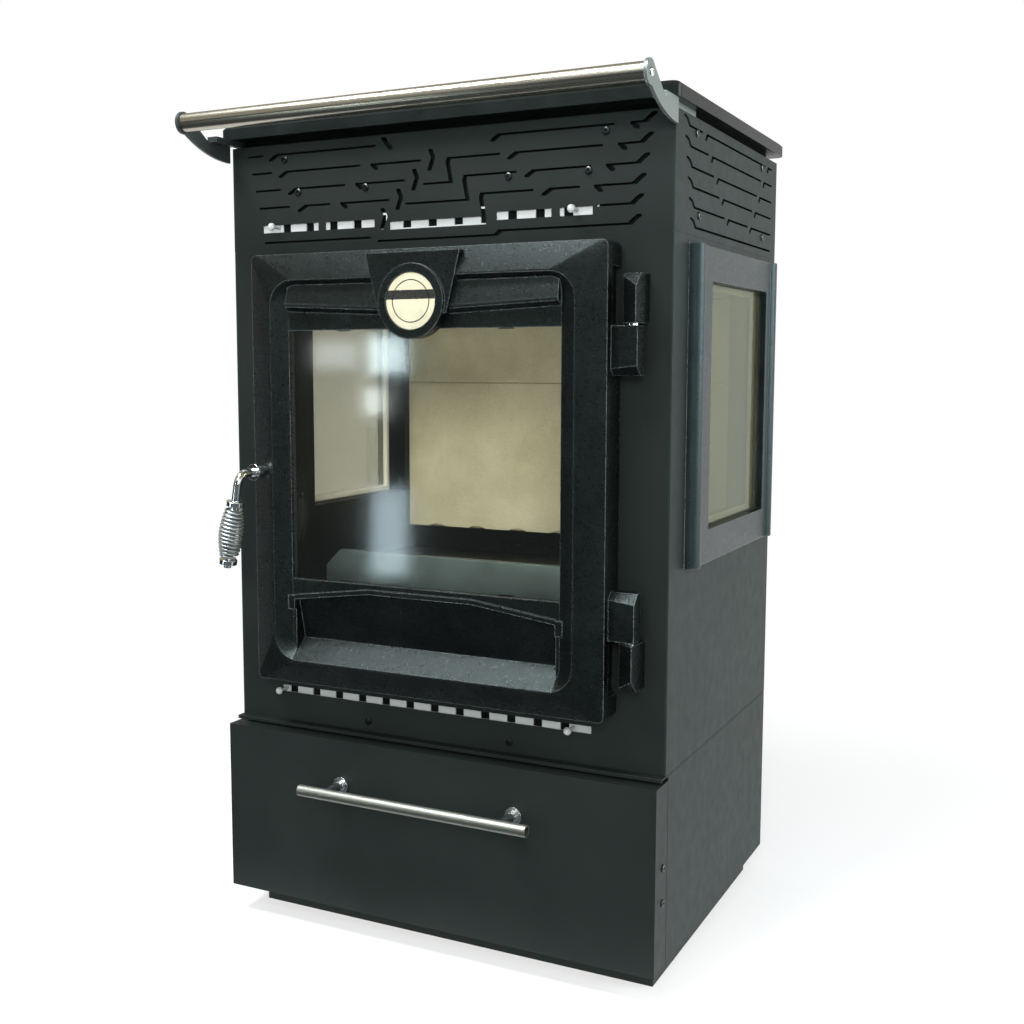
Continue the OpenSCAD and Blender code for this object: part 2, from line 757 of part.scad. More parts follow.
// Side window: a cast frame with a half-round bar at each end, and its pane
module window_frame() {
  color(cast) difference() {
    union() {
      span([side_x, frame_y0 + frame_bar_r, frame_z0], [side_x + frame_t, frame_y1 - frame_bar_r, frame_z1]);
      for (y = [frame_y0 + frame_bar_r, frame_y1 - frame_bar_r]) translate([side_x, y, frame_z0])
        intersection() {
          cylinder(r = frame_bar_r, h = frame_h);
          translate([0, -frame_bar_r, 0]) cube([frame_bar_r, 2 * frame_bar_r, frame_h]);
        }
    }
    span([side_x - 1, open_y0, open_z0], [side_x + frame_bar_r + 1, open_y1, open_z1]);
  }
}
module window_glass() {
  color([0.8, 0.85, 0.85, 0.3]) span([side_x - glass_t, open_y0 - pane_lap, open_z0 - pane_lap],
    [side_x, open_y1 + pane_lap, open_z1 + pane_lap]);
}

// Flue collar behind the body: a spigot with a flange on the firebox
flue_out = 30;
module flue_collar() {
  wall = 4;
  color(cast) translate([0, wall_y1, flue_z]) rotate([-90, 0, 0]) difference() {
    union() {
      cylinder(r = flue_d / 2 + wall, h = back_y - wall_y1 + flue_out);
      cylinder(r = flue_d / 2 + 9, h = 5);
    }
    translate([0, 0, -1]) cylinder(r = flue_d / 2, h = back_y - wall_y1 + flue_out + 2);
  }
}

// Plates behind the two air sliders, with the holes that the sliders open
slider_end = 22;
port_end = 20;
port_x0 = -knob_half + port_end - port_pitch;
port_count = floor((knob_half - port_end - port_x0) / port_pitch) + 1;
module port_row(shift, z, h) {
  for (i = [0 : port_count - 1]) translate([port_x0 + i * port_pitch + shift - port_w / 2, z - h / 2])
    square([port_w, h]);
}
module grille_backplate() {
  color(steel) difference() {
    span([-panel_x + 8, plate_y0, grille_z + 3], [panel_x - 8, plate_y0 + slider_t, panel_z - 6]);
    upright(plate_y0 - 1, plate_y0 + slider_t + 1) port_row(slider_travel, upper_row_z, window_slot_h + 6);
  }
}
module inlet_plate() {
  color(steel) difference() {
    span([-panel_x + 20, plate_y0, body_z + sheet], [panel_x - 20, plate_y0 + slider_t, lower_row_z + 22]);
    upright(plate_y0 - 1, plate_y0 + slider_t + 1) port_row(slider_travel, lower_row_z, window_slot_h);
  }
}
// One air slider: a bright strip with holes and two ball knobs
module air_slider(z, port_h) {
  half_h = 9;
  knob_r = 4;
  stem_r = 1.6;
  color(bright) {
    difference() {
      span([-knob_half + knob_shift - slider_end, slider_y0, z - half_h],
        [knob_half + knob_shift + slider_end, slider_y0 + slider_t, z + half_h]);
      upright(slider_y0 - 1, slider_y0 + slider_t + 1) port_row(0, z, port_h);
    }
    for (x = [-1, 1]) translate([x * knob_half + knob_shift, slider_y0 + eps, z]) rotate([90, 0, 0]) {
      cylinder(r = stem_r, h = knob_out);
      translate([0, 0, knob_out]) sphere(knob_r);
    }
  }
}
module primary_slider() { air_slider(lower_row_z, window_slot_h); }
module secondary_slider() { air_slider(upper_row_z, window_slot_h + 6); }

// Screws in the front grille, the front panel, the side grilles and the rail brackets
module body_screws() {
  reach = plate_y0 - front_y;
  side_reach = 10;
  color(bright) {
    for (s = grille_screws) translate([s[0], front_y, panel_z + s[1]]) rotate([90, 0, 0]) screw(reach);
    for (s = lower_screws) translate([s[0], front_y, s[1]]) rotate([90, 0, 0]) screw(reach);
    both_sides() for (s = side_screws) translate([side_x, front_y + s[0], panel_z + s[1]]) rotate([0, 90, 0])
      screw(side_reach);
    both_sides() translate([rail_x + bracket_t, rail_y, rail_z]) rotate([0, 90, 0]) screw(bracket_t + 4);
  }
}

// Rail: a tube between two curved brackets
rail_x = side_x;
rail_y = front_y - rail_out;
rail_z = panel_z + rail_up;
module rail_tube() {
  wall = 1.5;
  plug = 6;
  color(bright) difference() {
    translate([-rail_x, rail_y, rail_z]) rotate([0, 90, 0]) cylinder(d = rail_d, h = 2 * rail_x);
    translate([-rail_x + plug, rail_y, rail_z]) rotate([0, 90, 0])
      cylinder(r = rail_d / 2 - wall, h = 2 * rail_x - 2 * plug);
    both_sides() translate([rail_x - plug + 1, rail_y, rail_z]) rotate([0, 90, 0])
      cylinder(r = screw_r + run_fit, h = plug);
  }
}
// Bracket: an ear round the tube, a curved lower edge and a tongue under the top plate
module bracket_outline() {
  ear = rail_d / 2 + 2;
  foot = [front_y - 4, panel_z - 16];
  curve = [for (i = [0 : 10]) let (t = i / 10)
    [rail_y - ear + (foot[0] - rail_y + ear) * pow(t, 1.25), rail_z + (foot[1] - rail_z) * sin(90 * t)]];
  translate([rail_y, rail_z]) circle(ear);
  polygon(concat(curve, [[foot[0], panel_z], [front_y - 38, panel_z],
    [rail_y + ear * 0.8, rail_z + ear * 0.6]]));
}
module rail_bracket() {
  tongue_y = [front_y - 38, front_y - 4, front_y + 64];
  color(bright) {
    difference() {
      sideways(rail_x, rail_x + bracket_t) bracket_outline();
      translate([rail_x - 1, rail_y, rail_z]) rotate([0, 90, 0])
        cylinder(r = screw_r + run_fit, h = bracket_t + 2);
    }
    span([web_x + 1, tongue_y[0], panel_z + 1], [rail_x + bracket_t, tongue_y[1], top_z]);
    span([web_x + 1, tongue_y[1] - eps, panel_z + 1], [rail_x - 2, tongue_y[2], top_z]);
    span([rail_x, tongue_y[0], panel_z - 6], [rail_x + bracket_t, tongue_y[1], panel_z + 1 + eps]);
  }
}

// Hinges: prisms with a ridge, bored for the pins
module body_knuckle() {
  polygon([[-8, 20], [-8, -4], [8, -14], [9.5, 20]]);
}
module door_knuckle() {
  polygon([[-hinge_out, 8], [-hinge_out, -8], [9, -11], [8.5, 8], [4, 12], [-12, 12]]);
}
upper_gap_z = door_z0 + upper_hinge_z;
lower_gap_z = door_z0 + lower_hinge_z;
pin_half = 30;
// Sloping cut at a knuckle's outer end; up is 1 for the top and -1 for the foot
module knuckle_cut(z, up) {
  drop = 15;
  nose = -17;
  clear = -30;
  translate([hinge_x, hinge_y, z]) mirror([0, 0, up > 0 ? 0 : 1]) sideways(-hinge_out, 2 * hinge_out)
    polygon([[clear, -drop - 6], [nose, -drop], [0, 1], [0, 10], [clear, 10]]);
}
module pin_bores() {
  for (z = [upper_gap_z, lower_gap_z]) translate([hinge_x, hinge_y, z - pin_half])
    cylinder(r = pin_d / 2 + run_fit, h = 2 * pin_half);
}
module hinge_brackets() {
  color(cast) difference() {
    translate([hinge_x, hinge_y, 0]) for (g = [[upper_gap_z, 1], [lower_gap_z, -1]])
      translate([0, 0, g[0] + (g[1] > 0 ? knuckle_gap / 2 : -knuckle_gap / 2 - knuckle_h)])
        linear_extrude(knuckle_h) body_knuckle();
    knuckle_cut(upper_gap_z + knuckle_gap / 2 + knuckle_h, 1);
    knuckle_cut(lower_gap_z - knuckle_gap / 2 - knuckle_h, -1);
    pin_bores();
  }
}
module hinge_pins() {
  collar_h = knuckle_gap - seat;
  collar_d = pin_d + 3;
  color(bright) for (g = [[upper_gap_z, 1], [lower_gap_z, -1]]) translate([hinge_x, hinge_y, g[0]]) {
    translate([0, 0, -pin_half]) cylinder(d = pin_d, h = 2 * pin_half);
    translate([0, 0, g[1] > 0 ? knuckle_gap / 2 - collar_h : -knuckle_gap / 2])
      cylinder(d = collar_d, h = collar_h);
  }
}

// Door casting
pocket_z = ridge_z0 + 2;
pocket_h = window_z0 - pocket_z - 10;
pocket_x = window_x - 4;
pocket_y = recess_y + 15;
arch = [[-pocket_x, 0], [-pocket_x, pocket_h - 12], [-pocket_x * 0.4, pocket_h], [pocket_x * 0.4, pocket_h],
  [pocket_x, pocket_h - 12], [pocket_x, 0]];
module door_shell() {
  hull() {
    upright(door_edge - eps, door_edge)
      plain_round_rect([-door_x, door_z0], [door_x, door_z1], 6, $fn = 32);
    upright(door_ridge, door_ridge + eps)
      plain_round_rect([-ridge_x, ridge_z0], [ridge_x, ridge_z1], 28, $fn = 32);
  }
  upright(door_edge, door_back) plain_round_rect([-door_x, door_z0], [door_x, door_z1], 6);
}
module door_recess() {
  hull() {
    upright(door_ridge - 1, door_ridge)
      plain_round_rect([-ridge_x + 2, ridge_z0 + 2], [ridge_x - 2, ridge_z1 - 2], 26, $fn = 32);
    upright(recess_y - eps, recess_y)
      plain_round_rect([-window_x, ridge_z0 + 10], [window_x, ridge_z1 - 8], 12, $fn = 32);
  }
}
// Upper valance: a raised band whose lower edge falls towards the middle
valance_fall = 2.6;
module valance_half() {
  z = ridge_z1 - 34;
  intersection() {
    translate([-window_x, 0, z]) rotate([0, valance_fall, 0]) sideways(0, window_x + 10)
      polygon([[recess_y + 1, 0], [recess_y - 7, 5], [recess_y - 7.5, 9], [recess_y - 2, 30],
        [recess_y - 2, 40], [recess_y + 1, 40]]);
    span([-window_x, recess_y - 8, z - 12], [0, recess_y + 1, ridge_z1 - 6]);
  }
}
// Hollow below the glass with an arched upper edge and a sloping lower face
module lower_pocket() {
  intersection() {
    sideways(-pocket_x - 1, pocket_x + 1)
      polygon([[door_ridge - 1, pocket_z - 1], [door_ridge, pocket_z - 0.5], [pocket_y, pocket_z + 20],
        [pocket_y - 1, pocket_z + 27], [recess_y + 6, pocket_z + pocket_h - 14],
        [recess_y - 1, pocket_z + pocket_h + 2], [door_ridge - 1, pocket_z + pocket_h + 2]]);
    translate([0, 0, pocket_z]) upright(door_ridge - 2, recess_y + 20) polygon(arch);
  }
}
// Raised lip that follows the arch above the hollow and ends in two square lugs
module pocket_lip() {
  lip = 5;
  proud = 3;
  lug = [10, 15];
  lug_top = pocket_z + arch[1][1] + lip - 1;
  translate([0, 0, pocket_z]) upright(recess_y - proud, recess_y + 1)
    polygon(concat([for (i = [1 : 4]) arch[i]], [for (i = [4 : -1 : 1]) arch[i] + [0, lip]]));
  both_sides() span([pocket_x - 2, recess_y - proud, lug_top - lug[1]],
    [pocket_x - 2 + lug[0], recess_y + 1, lug_top]);
}
module door_frame() {
  rim = 6;
  back = plate_back;
  rib = 5;
  spindle_hole = rod_d / 2 + run_fit;
  color(cast) difference() {
    union() {
      difference() {
        door_shell();
        door_recess();
        span([-door_x + rim, back, door_z0 + rim], [door_x - rim, door_back + 1, door_z1 - rim]);
      }
      valance_half();
      mirror([1, 0, 0]) valance_half();
      pocket_lip();
      span([-pocket_x - 8, recess_y, pocket_z - 4],
        [pocket_x + 8, recess_y + 20, pocket_z + pocket_h - 6]);
      difference() {
        span([-gasket_x - rib, back - eps, gasket_z0 - rib],
          [gasket_x + rib, lip_y - rope_d, gasket_z1 + rib]);
        span([-gasket_x + rib, back - 1, gasket_z0 + rib], [gasket_x - rib, lip_y, gasket_z1 - rib]);
      }
      translate([spindle_x, door_ridge + 7, spindle_h]) rotate([-90, 0, 0])
        cylinder(r = 8, h = door_back - 14 - door_ridge - 7);
      for (z = [upper_gap_z - knuckle_gap / 2 - knuckle_h, lower_gap_z + knuckle_gap / 2])
        translate([hinge_x, hinge_y, z]) linear_extrude(knuckle_h) door_knuckle();
    }
    lower_pocket();
    span([-window_x, door_ridge - 1, window_z0], [window_x, back + 1, window_z1]);
    span([-window_x - glass_lap - 1, back - 2, window_z0 - glass_lap - 1],
      [window_x + glass_lap + 1, back + eps, window_z1 + glass_lap + 1]);
    translate([spindle_x, door_ridge - 1, spindle_h]) rotate([-90, 0, 0]) cylinder(r = spindle_hole, h = 60);
    knuckle_cut(upper_gap_z - knuckle_gap / 2 - knuckle_h, -1);
    knuckle_cut(lower_gap_z + knuckle_gap / 2 + knuckle_h, 1);
    pin_bores();
    span([door_x - 5, door_edge + 11, upper_gap_z], [door_x + 1, door_back + 1, upper_gap_z + knuckle_h + 8]);
    span([door_x - 5, door_edge + 11, lower_gap_z - knuckle_h - 8], [door_x + 1, door_back + 1, lower_gap_z]);
  }
}
// Pane behind the door's opening, held by clips
module door_glass() {
  color([0.8, 0.85, 0.85, 0.3]) span([-window_x - glass_lap, plate_back - 2, window_z0 - glass_lap],
    [window_x + glass_lap, plate_back - 2 + glass_t, window_z1 + glass_lap]);
}
module glass_clips() {
  clip = [16, 14];
  y0 = plate_back - 2 + glass_t;
  foot = 4;
  color(bright) for (x = [-0.6, 0.6], z = [0, 1]) {
    zc = z == 0 ? window_z0 - glass_lap : window_z1 + glass_lap;
    in = z == 0 ? 1 : -1;
    translate([x * window_x - clip[0] / 2, 0, 0]) {
      z0 = [min(zc - in * foot, zc + in * 10), max(zc - in * foot, zc + in * 10)];
      z1 = [min(zc - in * foot, zc - in * 1.3), max(zc - in * foot, zc - in * 1.3)];
      span([0, y0, z0[0]], [clip[0], y0 + 1.5, z0[1]]);
      span([0, plate_back, z1[0]], [clip[0], y0 + eps, z1[1]]);
    }
  }
}
// Gasket rope in one ring on the door's rib
module door_gasket() {
  y = lip_y - rope_d / 2;
  r = rope_d / 2;
  color([0.25, 0.25, 0.25]) difference() {
    span([-gasket_x - r, y - r, gasket_z0 - r], [gasket_x + r, y + r - seat, gasket_z1 + r]);
    span([-gasket_x + r, y - r - 1, gasket_z0 + r], [gasket_x - r, y + r + 1, gasket_z1 - r]);
  }
}

// Medallion: a shield with a round boss, and a plain pale disc set into it
module medallion_boss() {
  top = door_z1 - 4;
  foot = boss_z - 12;
  rim = 4;
  shield_y = door_ridge - 1.5;
  color(cast) difference() {
    union() {
      upright(shield_y, recess_y) polygon([[-shield_top_w / 2, top], [shield_top_w / 2, top],
        [shield_foot_w / 2, foot], [-shield_foot_w / 2, foot]]);
      upright(boss_y, recess_y) translate([0, boss_z]) circle(boss_r, $fn = 96);
    }
    upright(boss_y - 1, boss_y + rim) translate([0, boss_z]) circle(disc_r + 0.2, $fn = 96);
    difference() {
      door_shell();
      door_recess();
    }
    valance_half();
    mirror([1, 0, 0]) valance_half();
  }
}
module medallion_disc() {
  disc_t = 3;
  groove = [20, 1, 0.8];
  color([0.92, 0.89, 0.75]) translate([0, boss_y + 4, boss_z]) rotate([90, 0, 0]) difference() {
    cylinder(r = disc_r, h = disc_t, $fn = 96);
    translate([0, 0, disc_t - groove[2]]) difference() {
      cylinder(r = groove[0] + groove[1], h = 2, $fn = 96);
      translate([0, 0, -1]) cylinder(r = groove[0], h = 4, $fn = 96);
    }
  }
}

// Handle: a spindle through the door, an elbow and a grip rod with two collars
grip_z0 = -grip_top;
grip_z1 = -grip_top - grip_l;
collar_h = 5;
lever_y = -boss_len - rod_reach;
module handle_lever() {
  spindle_len = cam_y - door_ridge;
  color(bright) translate([spindle_x, door_ridge, spindle_h]) {
    translate([0, -boss_len, 0]) rotate([-90, 0, 0]) cylinder(r = rod_d / 2 + 4, h = boss_len - seat);
    rotate([0, grip_tilt, 0]) {
      translate([0, lever_y + rod_bend, 0]) rotate([-90, 0, 0])
        cylinder(d = rod_d, h = rod_reach - rod_bend + boss_len + spindle_len);
      translate([0, lever_y + rod_bend, -rod_bend]) rotate([0, 90, 0]) rotate([0, 0, 180])
        rotate_extrude(angle = 90) translate([rod_bend, 0]) circle(d = rod_d);
      translate([0, lever_y, grip_z1 - collar_h])
        cylinder(d = rod_d, h = collar_h - grip_z1 - rod_bend + eps);
      translate([0, lever_y, grip_z0]) cylinder(r = grip_end_r + wire_d / 2, h = collar_h);
      translate([0, lever_y, grip_z1 - collar_h]) cylinder(r = grip_end_r + wire_d / 2, h = collar_h);
      translate([0, lever_y, grip_z1 - collar_h - 4]) cylinder(r = 4, h = 4 + eps);
    }
  }
}

// Wire grip: one unbroken tube that swells to a barrel, with a straight run at each end
ring_sides = 6;
rings_per_turn = 8;
coil_rings = grip_turns * rings_per_turn;
coil_len = grip_l - 2 * wire_d;
function barrel(t) = grip_end_r + (grip_r - grip_end_r) * sin(180 * t);
function coil_point(i) = let (t = i / coil_rings, a = 360 * i / rings_per_turn)
  [barrel(t) * cos(a), barrel(t) * sin(a), -wire_d - coil_len * t];
coil_path = concat([[grip_end_r, 0, 0]], [for (i = [0 : coil_rings]) coil_point(i)],
  [[grip_end_r, 0, -grip_l]]);
last = len(coil_path) - 1;
function unit(v) = v / norm(v);
function heading(i) = i == 0 || i == last ? [0, 0, -1] : unit(coil_path[i + 1] - coil_path[i - 1]);
function ring(i) = let (p = coil_path[i], t = heading(i), out = unit([p[0], p[1], 0]),
  side = unit(cross(t, out)), up = cross(side, t))
  [for (k = [0 : ring_sides - 1]) let (a = 360 * k / ring_sides)
    p + wire_d / 2 * (cos(a) * up + sin(a) * side)];
module handle_coil() {
  points = [for (i = [0 : last]) each ring(i)];
  wall = [for (i = [0 : last - 1], k = [0 : ring_sides - 1]) let (n = (k + 1) % ring_sides,
    a = i * ring_sides + k, b = i * ring_sides + n, c = a + ring_sides, d = b + ring_sides)
    each [[a, b, d], [a, d, c]]];
  start = [for (k = [1 : ring_sides - 2]) [0, k + 1, k]];
  foot = last * ring_sides;
  end = [for (k = [1 : ring_sides - 2]) [foot, foot + k, foot + k + 1]];
  color(bright) translate([spindle_x, door_ridge, spindle_h]) rotate([0, grip_tilt, 0])
    translate([0, lever_y, grip_z0]) polyhedron(points, concat(wall, start, end));
}
function turn_gap(i) = norm(coil_path[i + rings_per_turn] - coil_path[i]) - wire_d;
coil_gap = min([for (i = [1 : last - 1 - rings_per_turn]) turn_gap(i)]);
echo(least_gap_between_turns = coil_gap);

// Latch: a cam on the spindle and a keeper above it on the firebox
module latch_cam() {
  cam_t = 5;
  color(bright) translate([spindle_x, cam_y, spindle_h]) rotate([-90, 0, 0]) linear_extrude(cam_t) {
    circle(r = 7);
    intersection() {
      translate([-3, -cam_r]) square([6, cam_r]);
      circle(r = cam_r);
    }
  }
}
module latch_keeper() {
  z0 = spindle_h + cam_r + seat;
  color(bright) {
    span([spindle_x - 5, cam_y - 3, z0], [spindle_x + 5, front_y, z0 + 3]);
    span([spindle_x - 5, cam_y - 3, z0], [spindle_x + 5, cam_y, z0 + 12]);
  }
}

plinth();
base_floor();
mirror([1, 0, 0]) base_side();  // base_left_side
base_side();  // base_right_side
base_back();
base_top();
drawer_runners();
mirror([1, 0, 0]) side_panel();  // left_panel
side_panel();  // right_panel
mirror([1, 0, 0]) side_grille();  // left_grille
side_grille();  // right_grille
front_panel();
front_grille();
back_panel();
body_floor();
top_frame();
top_plate();
mirror([1, 0, 0]) firebox_side();  // firebox_left_wall
firebox_side();  // firebox_right_wall
firebox_back_wall();
firebox_floor();
firebox_roof();
firebox_front();
baffle_plate();
back_brick_lower();
back_brick_upper();
rear_air_rail();
log_retainer();
grate();
ash_pan();
mirror([1, 0, 0]) window_frame();  // left_window_frame
window_frame();  // right_window_frame
mirror([1, 0, 0]) window_glass();  // left_window_glass
window_glass();  // right_window_glass
flue_collar();
grille_backplate();
inlet_plate();
rail_tube();
mirror([1, 0, 0]) rail_bracket();  // left_rail_bracket
rail_bracket();  // right_rail_bracket
hinge_brackets();
hinge_pins();
body_screws();
latch_keeper();
drawer_front();
drawer_tray();
drawer_bar();
drawer_posts();
drawer_screws();
primary_slider();
secondary_slider();
door_frame();
door_glass();
door_gasket();
glass_clips();
medallion_boss();
medallion_disc();
handle_lever();
handle_coil();
latch_cam();
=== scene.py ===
"""Looks of the wood cookstove: finishes, small fittings, studio light and camera."""
import math

import bmesh
import bpy
from mathutils import Matrix, Vector


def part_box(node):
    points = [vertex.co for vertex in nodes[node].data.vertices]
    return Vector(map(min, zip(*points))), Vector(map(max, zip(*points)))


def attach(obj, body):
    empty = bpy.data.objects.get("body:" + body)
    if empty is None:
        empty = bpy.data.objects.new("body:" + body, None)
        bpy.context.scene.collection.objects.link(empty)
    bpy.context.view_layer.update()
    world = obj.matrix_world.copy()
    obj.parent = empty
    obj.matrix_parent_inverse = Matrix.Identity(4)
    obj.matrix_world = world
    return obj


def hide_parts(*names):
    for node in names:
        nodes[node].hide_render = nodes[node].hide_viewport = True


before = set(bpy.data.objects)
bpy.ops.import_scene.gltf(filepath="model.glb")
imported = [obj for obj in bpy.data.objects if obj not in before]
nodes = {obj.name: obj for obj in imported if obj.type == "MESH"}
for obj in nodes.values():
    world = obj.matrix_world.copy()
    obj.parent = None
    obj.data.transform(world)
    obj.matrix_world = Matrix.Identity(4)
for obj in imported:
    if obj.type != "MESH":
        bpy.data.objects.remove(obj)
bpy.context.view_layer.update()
scene = bpy.context.scene
RAD = math.radians

# Places that part.scad fixes, in metres
SPINDLE = Vector((-0.1855, -0.229, 0.503))
GRIP_TILT = RAD(10)
LEVER_Y = -0.038
GRIP_TOP = -0.034
GRIP_LENGTH = 0.057
GRIP_TURNS = 13
WIRE_R = 0.0015
COIL_R = 0.012
COIL_END_R = 0.008
PANE_LAP = 0.006
TUNNEL_FACE_X = 0.2458
# Body screws that reach past this sit on a side panel, and those ahead of this hold the rail
SIDE_SCREW_X = 0.248
RAIL_SCREW_Y = -0.24

# Sizes of the pieces that this script adds, in metres
STEPS_PER_TURN = 20
WIRE_SIDES = 10
HEAD_R = 0.0039
HEAD_H = 0.0018
RAIL_HEAD_R = 0.0042
SHANK = 0.006
# The socket's radius as a share of the head's
SOCKET = 0.42
TAPE_WIDTH = 0.0065
TAPE_DEPTH = 0.006
TAPE_EDGE = 0.001
RING_INNER_R, RING_OUTER_R = 0.0201, 0.0209
RING_FRONT, RING_BACK = 0.0003, 0.0007
RING_SIDES = 96
# The dark band across the medallion, above its middle
BAND_RISE = 0.0062
BAND_HALF = 0.0045


# Materials
COOL = (0.84, 1, 0.97, 1)
LOW_GLOSS = 0.2
# Width of the edge band painted lighter: rubbed paint and painted highlights
RUB_AND_HIGHLIGHT_WIDTH = 0.0016


def shade(color, by):
    return tuple(c * by for c in color)


def new_node(tree, kind, inputs=None, **settings):
    """A node with its settings; each input gets a value, or a link from another node's output."""
    node = tree.nodes.new(kind)
    for name, value in settings.items():
        setattr(node, name, value)
    for key, value in (inputs or {}).items():
        if isinstance(value, bpy.types.NodeSocket):
            tree.links.new(value, node.inputs[key])
        else:
            node.inputs[key].default_value = value
    return node


def new_material(name):
    """A material with its node tree and its Principled shader."""
    mat = bpy.data.materials.new(name)
    mat.use_nodes = True
    return mat, mat.node_tree, mat.node_tree.nodes["Principled BSDF"]


def mix_colors(tree, amount, first, second):
    """The first colour, with the second over it by the amount. Inputs 6 and 7 are the node's colours."""
    node = new_node(tree, "ShaderNodeMix", {0: amount, 6: first, 7: second}, data_type="RGBA")
    return node.outputs[2]


def mix_shaders(tree, amount, first, second):
    """The first shader, with the second over it by the amount."""
    return new_node(tree, "ShaderNodeMixShader", {"Fac": amount, 1: first, 2: second}).outputs["Shader"]


class Finish:
    """A Principled material with short calls for the nodes that shape it."""

    def __init__(self, name, color, rough, metal=0.0, **sockets):
        self.mat, self.tree, self.shader = new_material(name)
        self.shader.inputs["Base Color"].default_value = (*color, 1)
        self.shader.inputs["Roughness"].default_value = rough
        self.shader.inputs["Metallic"].default_value = metal
        for socket, value in sockets.items():
            self.shader.inputs[socket.replace("_", " ")].default_value = value
        self.place = self.add("ShaderNodeTexCoord").outputs["Object"]

    def add(self, kind, inputs=None, **settings):
        return new_node(self.tree, kind, inputs, **settings)

    def stretched(self, scale):
        """Object coordinates scaled per axis, for brushing and grain."""
        return self.add("ShaderNodeMapping", {"Vector": self.place, "Scale": scale}).outputs["Vector"]

    def noise(self, scale, detail=3.0, rough=0.55, place=None):
        node = self.add("ShaderNodeTexNoise", {
            "Vector": place or self.place, "Scale": scale, "Detail": detail, "Roughness": rough})
        return node.outputs["Fac"]

    def cells(self, scale):
        return self.add("ShaderNodeTexVoronoi", {"Vector": self.place, "Scale": scale})

    def ramp(self, value, *stops):
        """Colours or greys along a value: each stop is a place and a colour."""
        node = self.add("ShaderNodeValToRGB", {"Fac": value})
        points = node.color_ramp.elements
        for i, (at, color) in enumerate(stops):
            point = points[i] if i < 2 else points.new(at)
            point.position = at
            point.color = (*color, 1) if isinstance(color, tuple) else (color, color, color, 1)
        return node.outputs["Color"]

    def math(self, how, a, b):
        return self.add("ShaderNodeMath", {0: a, 1: b}, operation=how).outputs["Value"]

    def bump(self, height, distance, strength=1.0, under=None):
        inputs = {"Height": height, "Distance": distance, "Strength": strength}
        if under:
            inputs["Normal"] = under
        return self.add("ShaderNodeBump", inputs).outputs["Normal"]

    def rub_and_highlight_edges(self, color):
        """Lightens the colour along edges in grainy traces: rubbed-thin paint and painted edge highlights.
        """
        soft = self.add("ShaderNodeBevel", {"Radius": RUB_AND_HIGHLIGHT_WIDTH})
        true = self.add("ShaderNodeNewGeometry")
        turn = self.add("ShaderNodeVectorMath", {0: soft.outputs["Normal"], 1: true.outputs["True Normal"]},
                        operation="DOT_PRODUCT")
        bent = self.math("SUBTRACT", 1.0, turn.outputs["Value"])
        grains = self.ramp(self.noise(900, 3, 0.7), (0.42, 0.0), (0.6, 1.0))
        self.cover(color, self.math("MULTIPLY", self.ramp(bent, (0.02, 0.0), (0.12, 1.0)), grains))

    def cover(self, color, amount):
        """Lays another colour over the base colour by the amount."""
        under = self.shader.inputs["Base Color"].links[0].from_socket
        self.set("Base Color", mix_colors(self.tree, amount, under, (*color, 1)))

    def set(self, socket, value):
        self.tree.links.new(value, self.shader.inputs[socket])


def sheet_paint(name, shine, color):
    f = Finish(name, color, 0.5, Specular_IOR_Level=shine, Specular_Tint=COOL)
    cloud = f.noise(9, 3)
    f.set("Base Color", f.ramp(cloud, (0.3, shade(color, 0.85)), (0.7, shade(color, 1.15))))
    f.set("Roughness", f.ramp(f.noise(60, 4), (0.3, 0.46), (0.75, 0.55)))
    f.set("Normal", f.bump(f.noise(1400, 2), 0.00012, 0.35))
    return f.mat


def cast_paint(name, grain, rough, shine, dark=1.0, wear_and_highlight=None, tint=COOL):
    """Cast paint: grain sets pebbling, dark the colour, wear_and_highlight that of rubbed,
    painted-highlight edges.
    """
    f = Finish(name, (0.005, 0.0062, 0.006), 0.42, Specular_IOR_Level=shine, Specular_Tint=tint)
    cloud = f.noise(22, 3)
    speck = f.noise(1100, 2, 0.6)
    f.set("Base Color", f.ramp(f.math("MULTIPLY", cloud, f.math("ADD", speck, 0.5)),
                               (0.3, shade((0.003, 0.004, 0.0038), dark)),
                               (0.75, shade((0.008, 0.0102, 0.01), dark))))
    f.set("Roughness", f.ramp(f.noise(300, 3), (0.3, rough[0]), (0.7, rough[1])))
    if wear_and_highlight:
        f.rub_and_highlight_edges(wear_and_highlight)
    coarse = f.bump(f.noise(260, 3), 0.0005, 0.14 * grain)
    f.set("Normal", f.bump(f.noise(900, 3, 0.6), 0.00035, 0.75 * grain, coarse))
    return f.mat


def brushed(name, color, rough, along=(4, 1800, 1800), metal=1.0):
    """Metal with fine lines; along holds how finely they repeat on each axis."""
    f = Finish(name, color, rough, metal)
    lines = f.noise(1.0, 3, 0.6, f.stretched(along))
    f.set("Roughness", f.ramp(lines, (0.3, rough - 0.04), (0.7, rough + 0.06)))
    f.set("Base Color", f.ramp(lines, (0.25, shade(color, 0.9)), (0.75, color)))
    f.set("Normal", f.bump(lines, 0.00001, 0.3))
    return f.mat


def chrome():
    f = Finish("polished_chrome", (0.95, 0.97, 0.97), 0.1, 1.0)
    f.set("Roughness", f.ramp(f.noise(120, 3), (0.35, 0.07), (0.75, 0.17)))
    f.set("Normal", f.bump(f.noise(500, 2), 0.00003, 0.25))
    return f.mat


def zinc():
    f = Finish("zinc_sheet", (0.6, 0.61, 0.62), 0.38, 1.0)
    flakes = f.cells(140)
    f.set("Base Color", f.ramp(flakes.outputs["Color"],
                               (0.1, (0.56, 0.57, 0.58)), (0.9, (0.64, 0.65, 0.66))))
    f.set("Roughness", f.ramp(flakes.outputs["Distance"], (0.0, 0.34), (0.8, 0.42)))
    return f.mat


def black_screw():
    f = Finish("blackened_screw", (0.075, 0.08, 0.08), 0.3, 1.0)
    f.set("Roughness", f.ramp(f.noise(700, 3), (0.3, 0.24), (0.7, 0.45)))
    f.set("Normal", f.bump(f.noise(1500, 2), 0.00004, 0.4))
    return f.mat


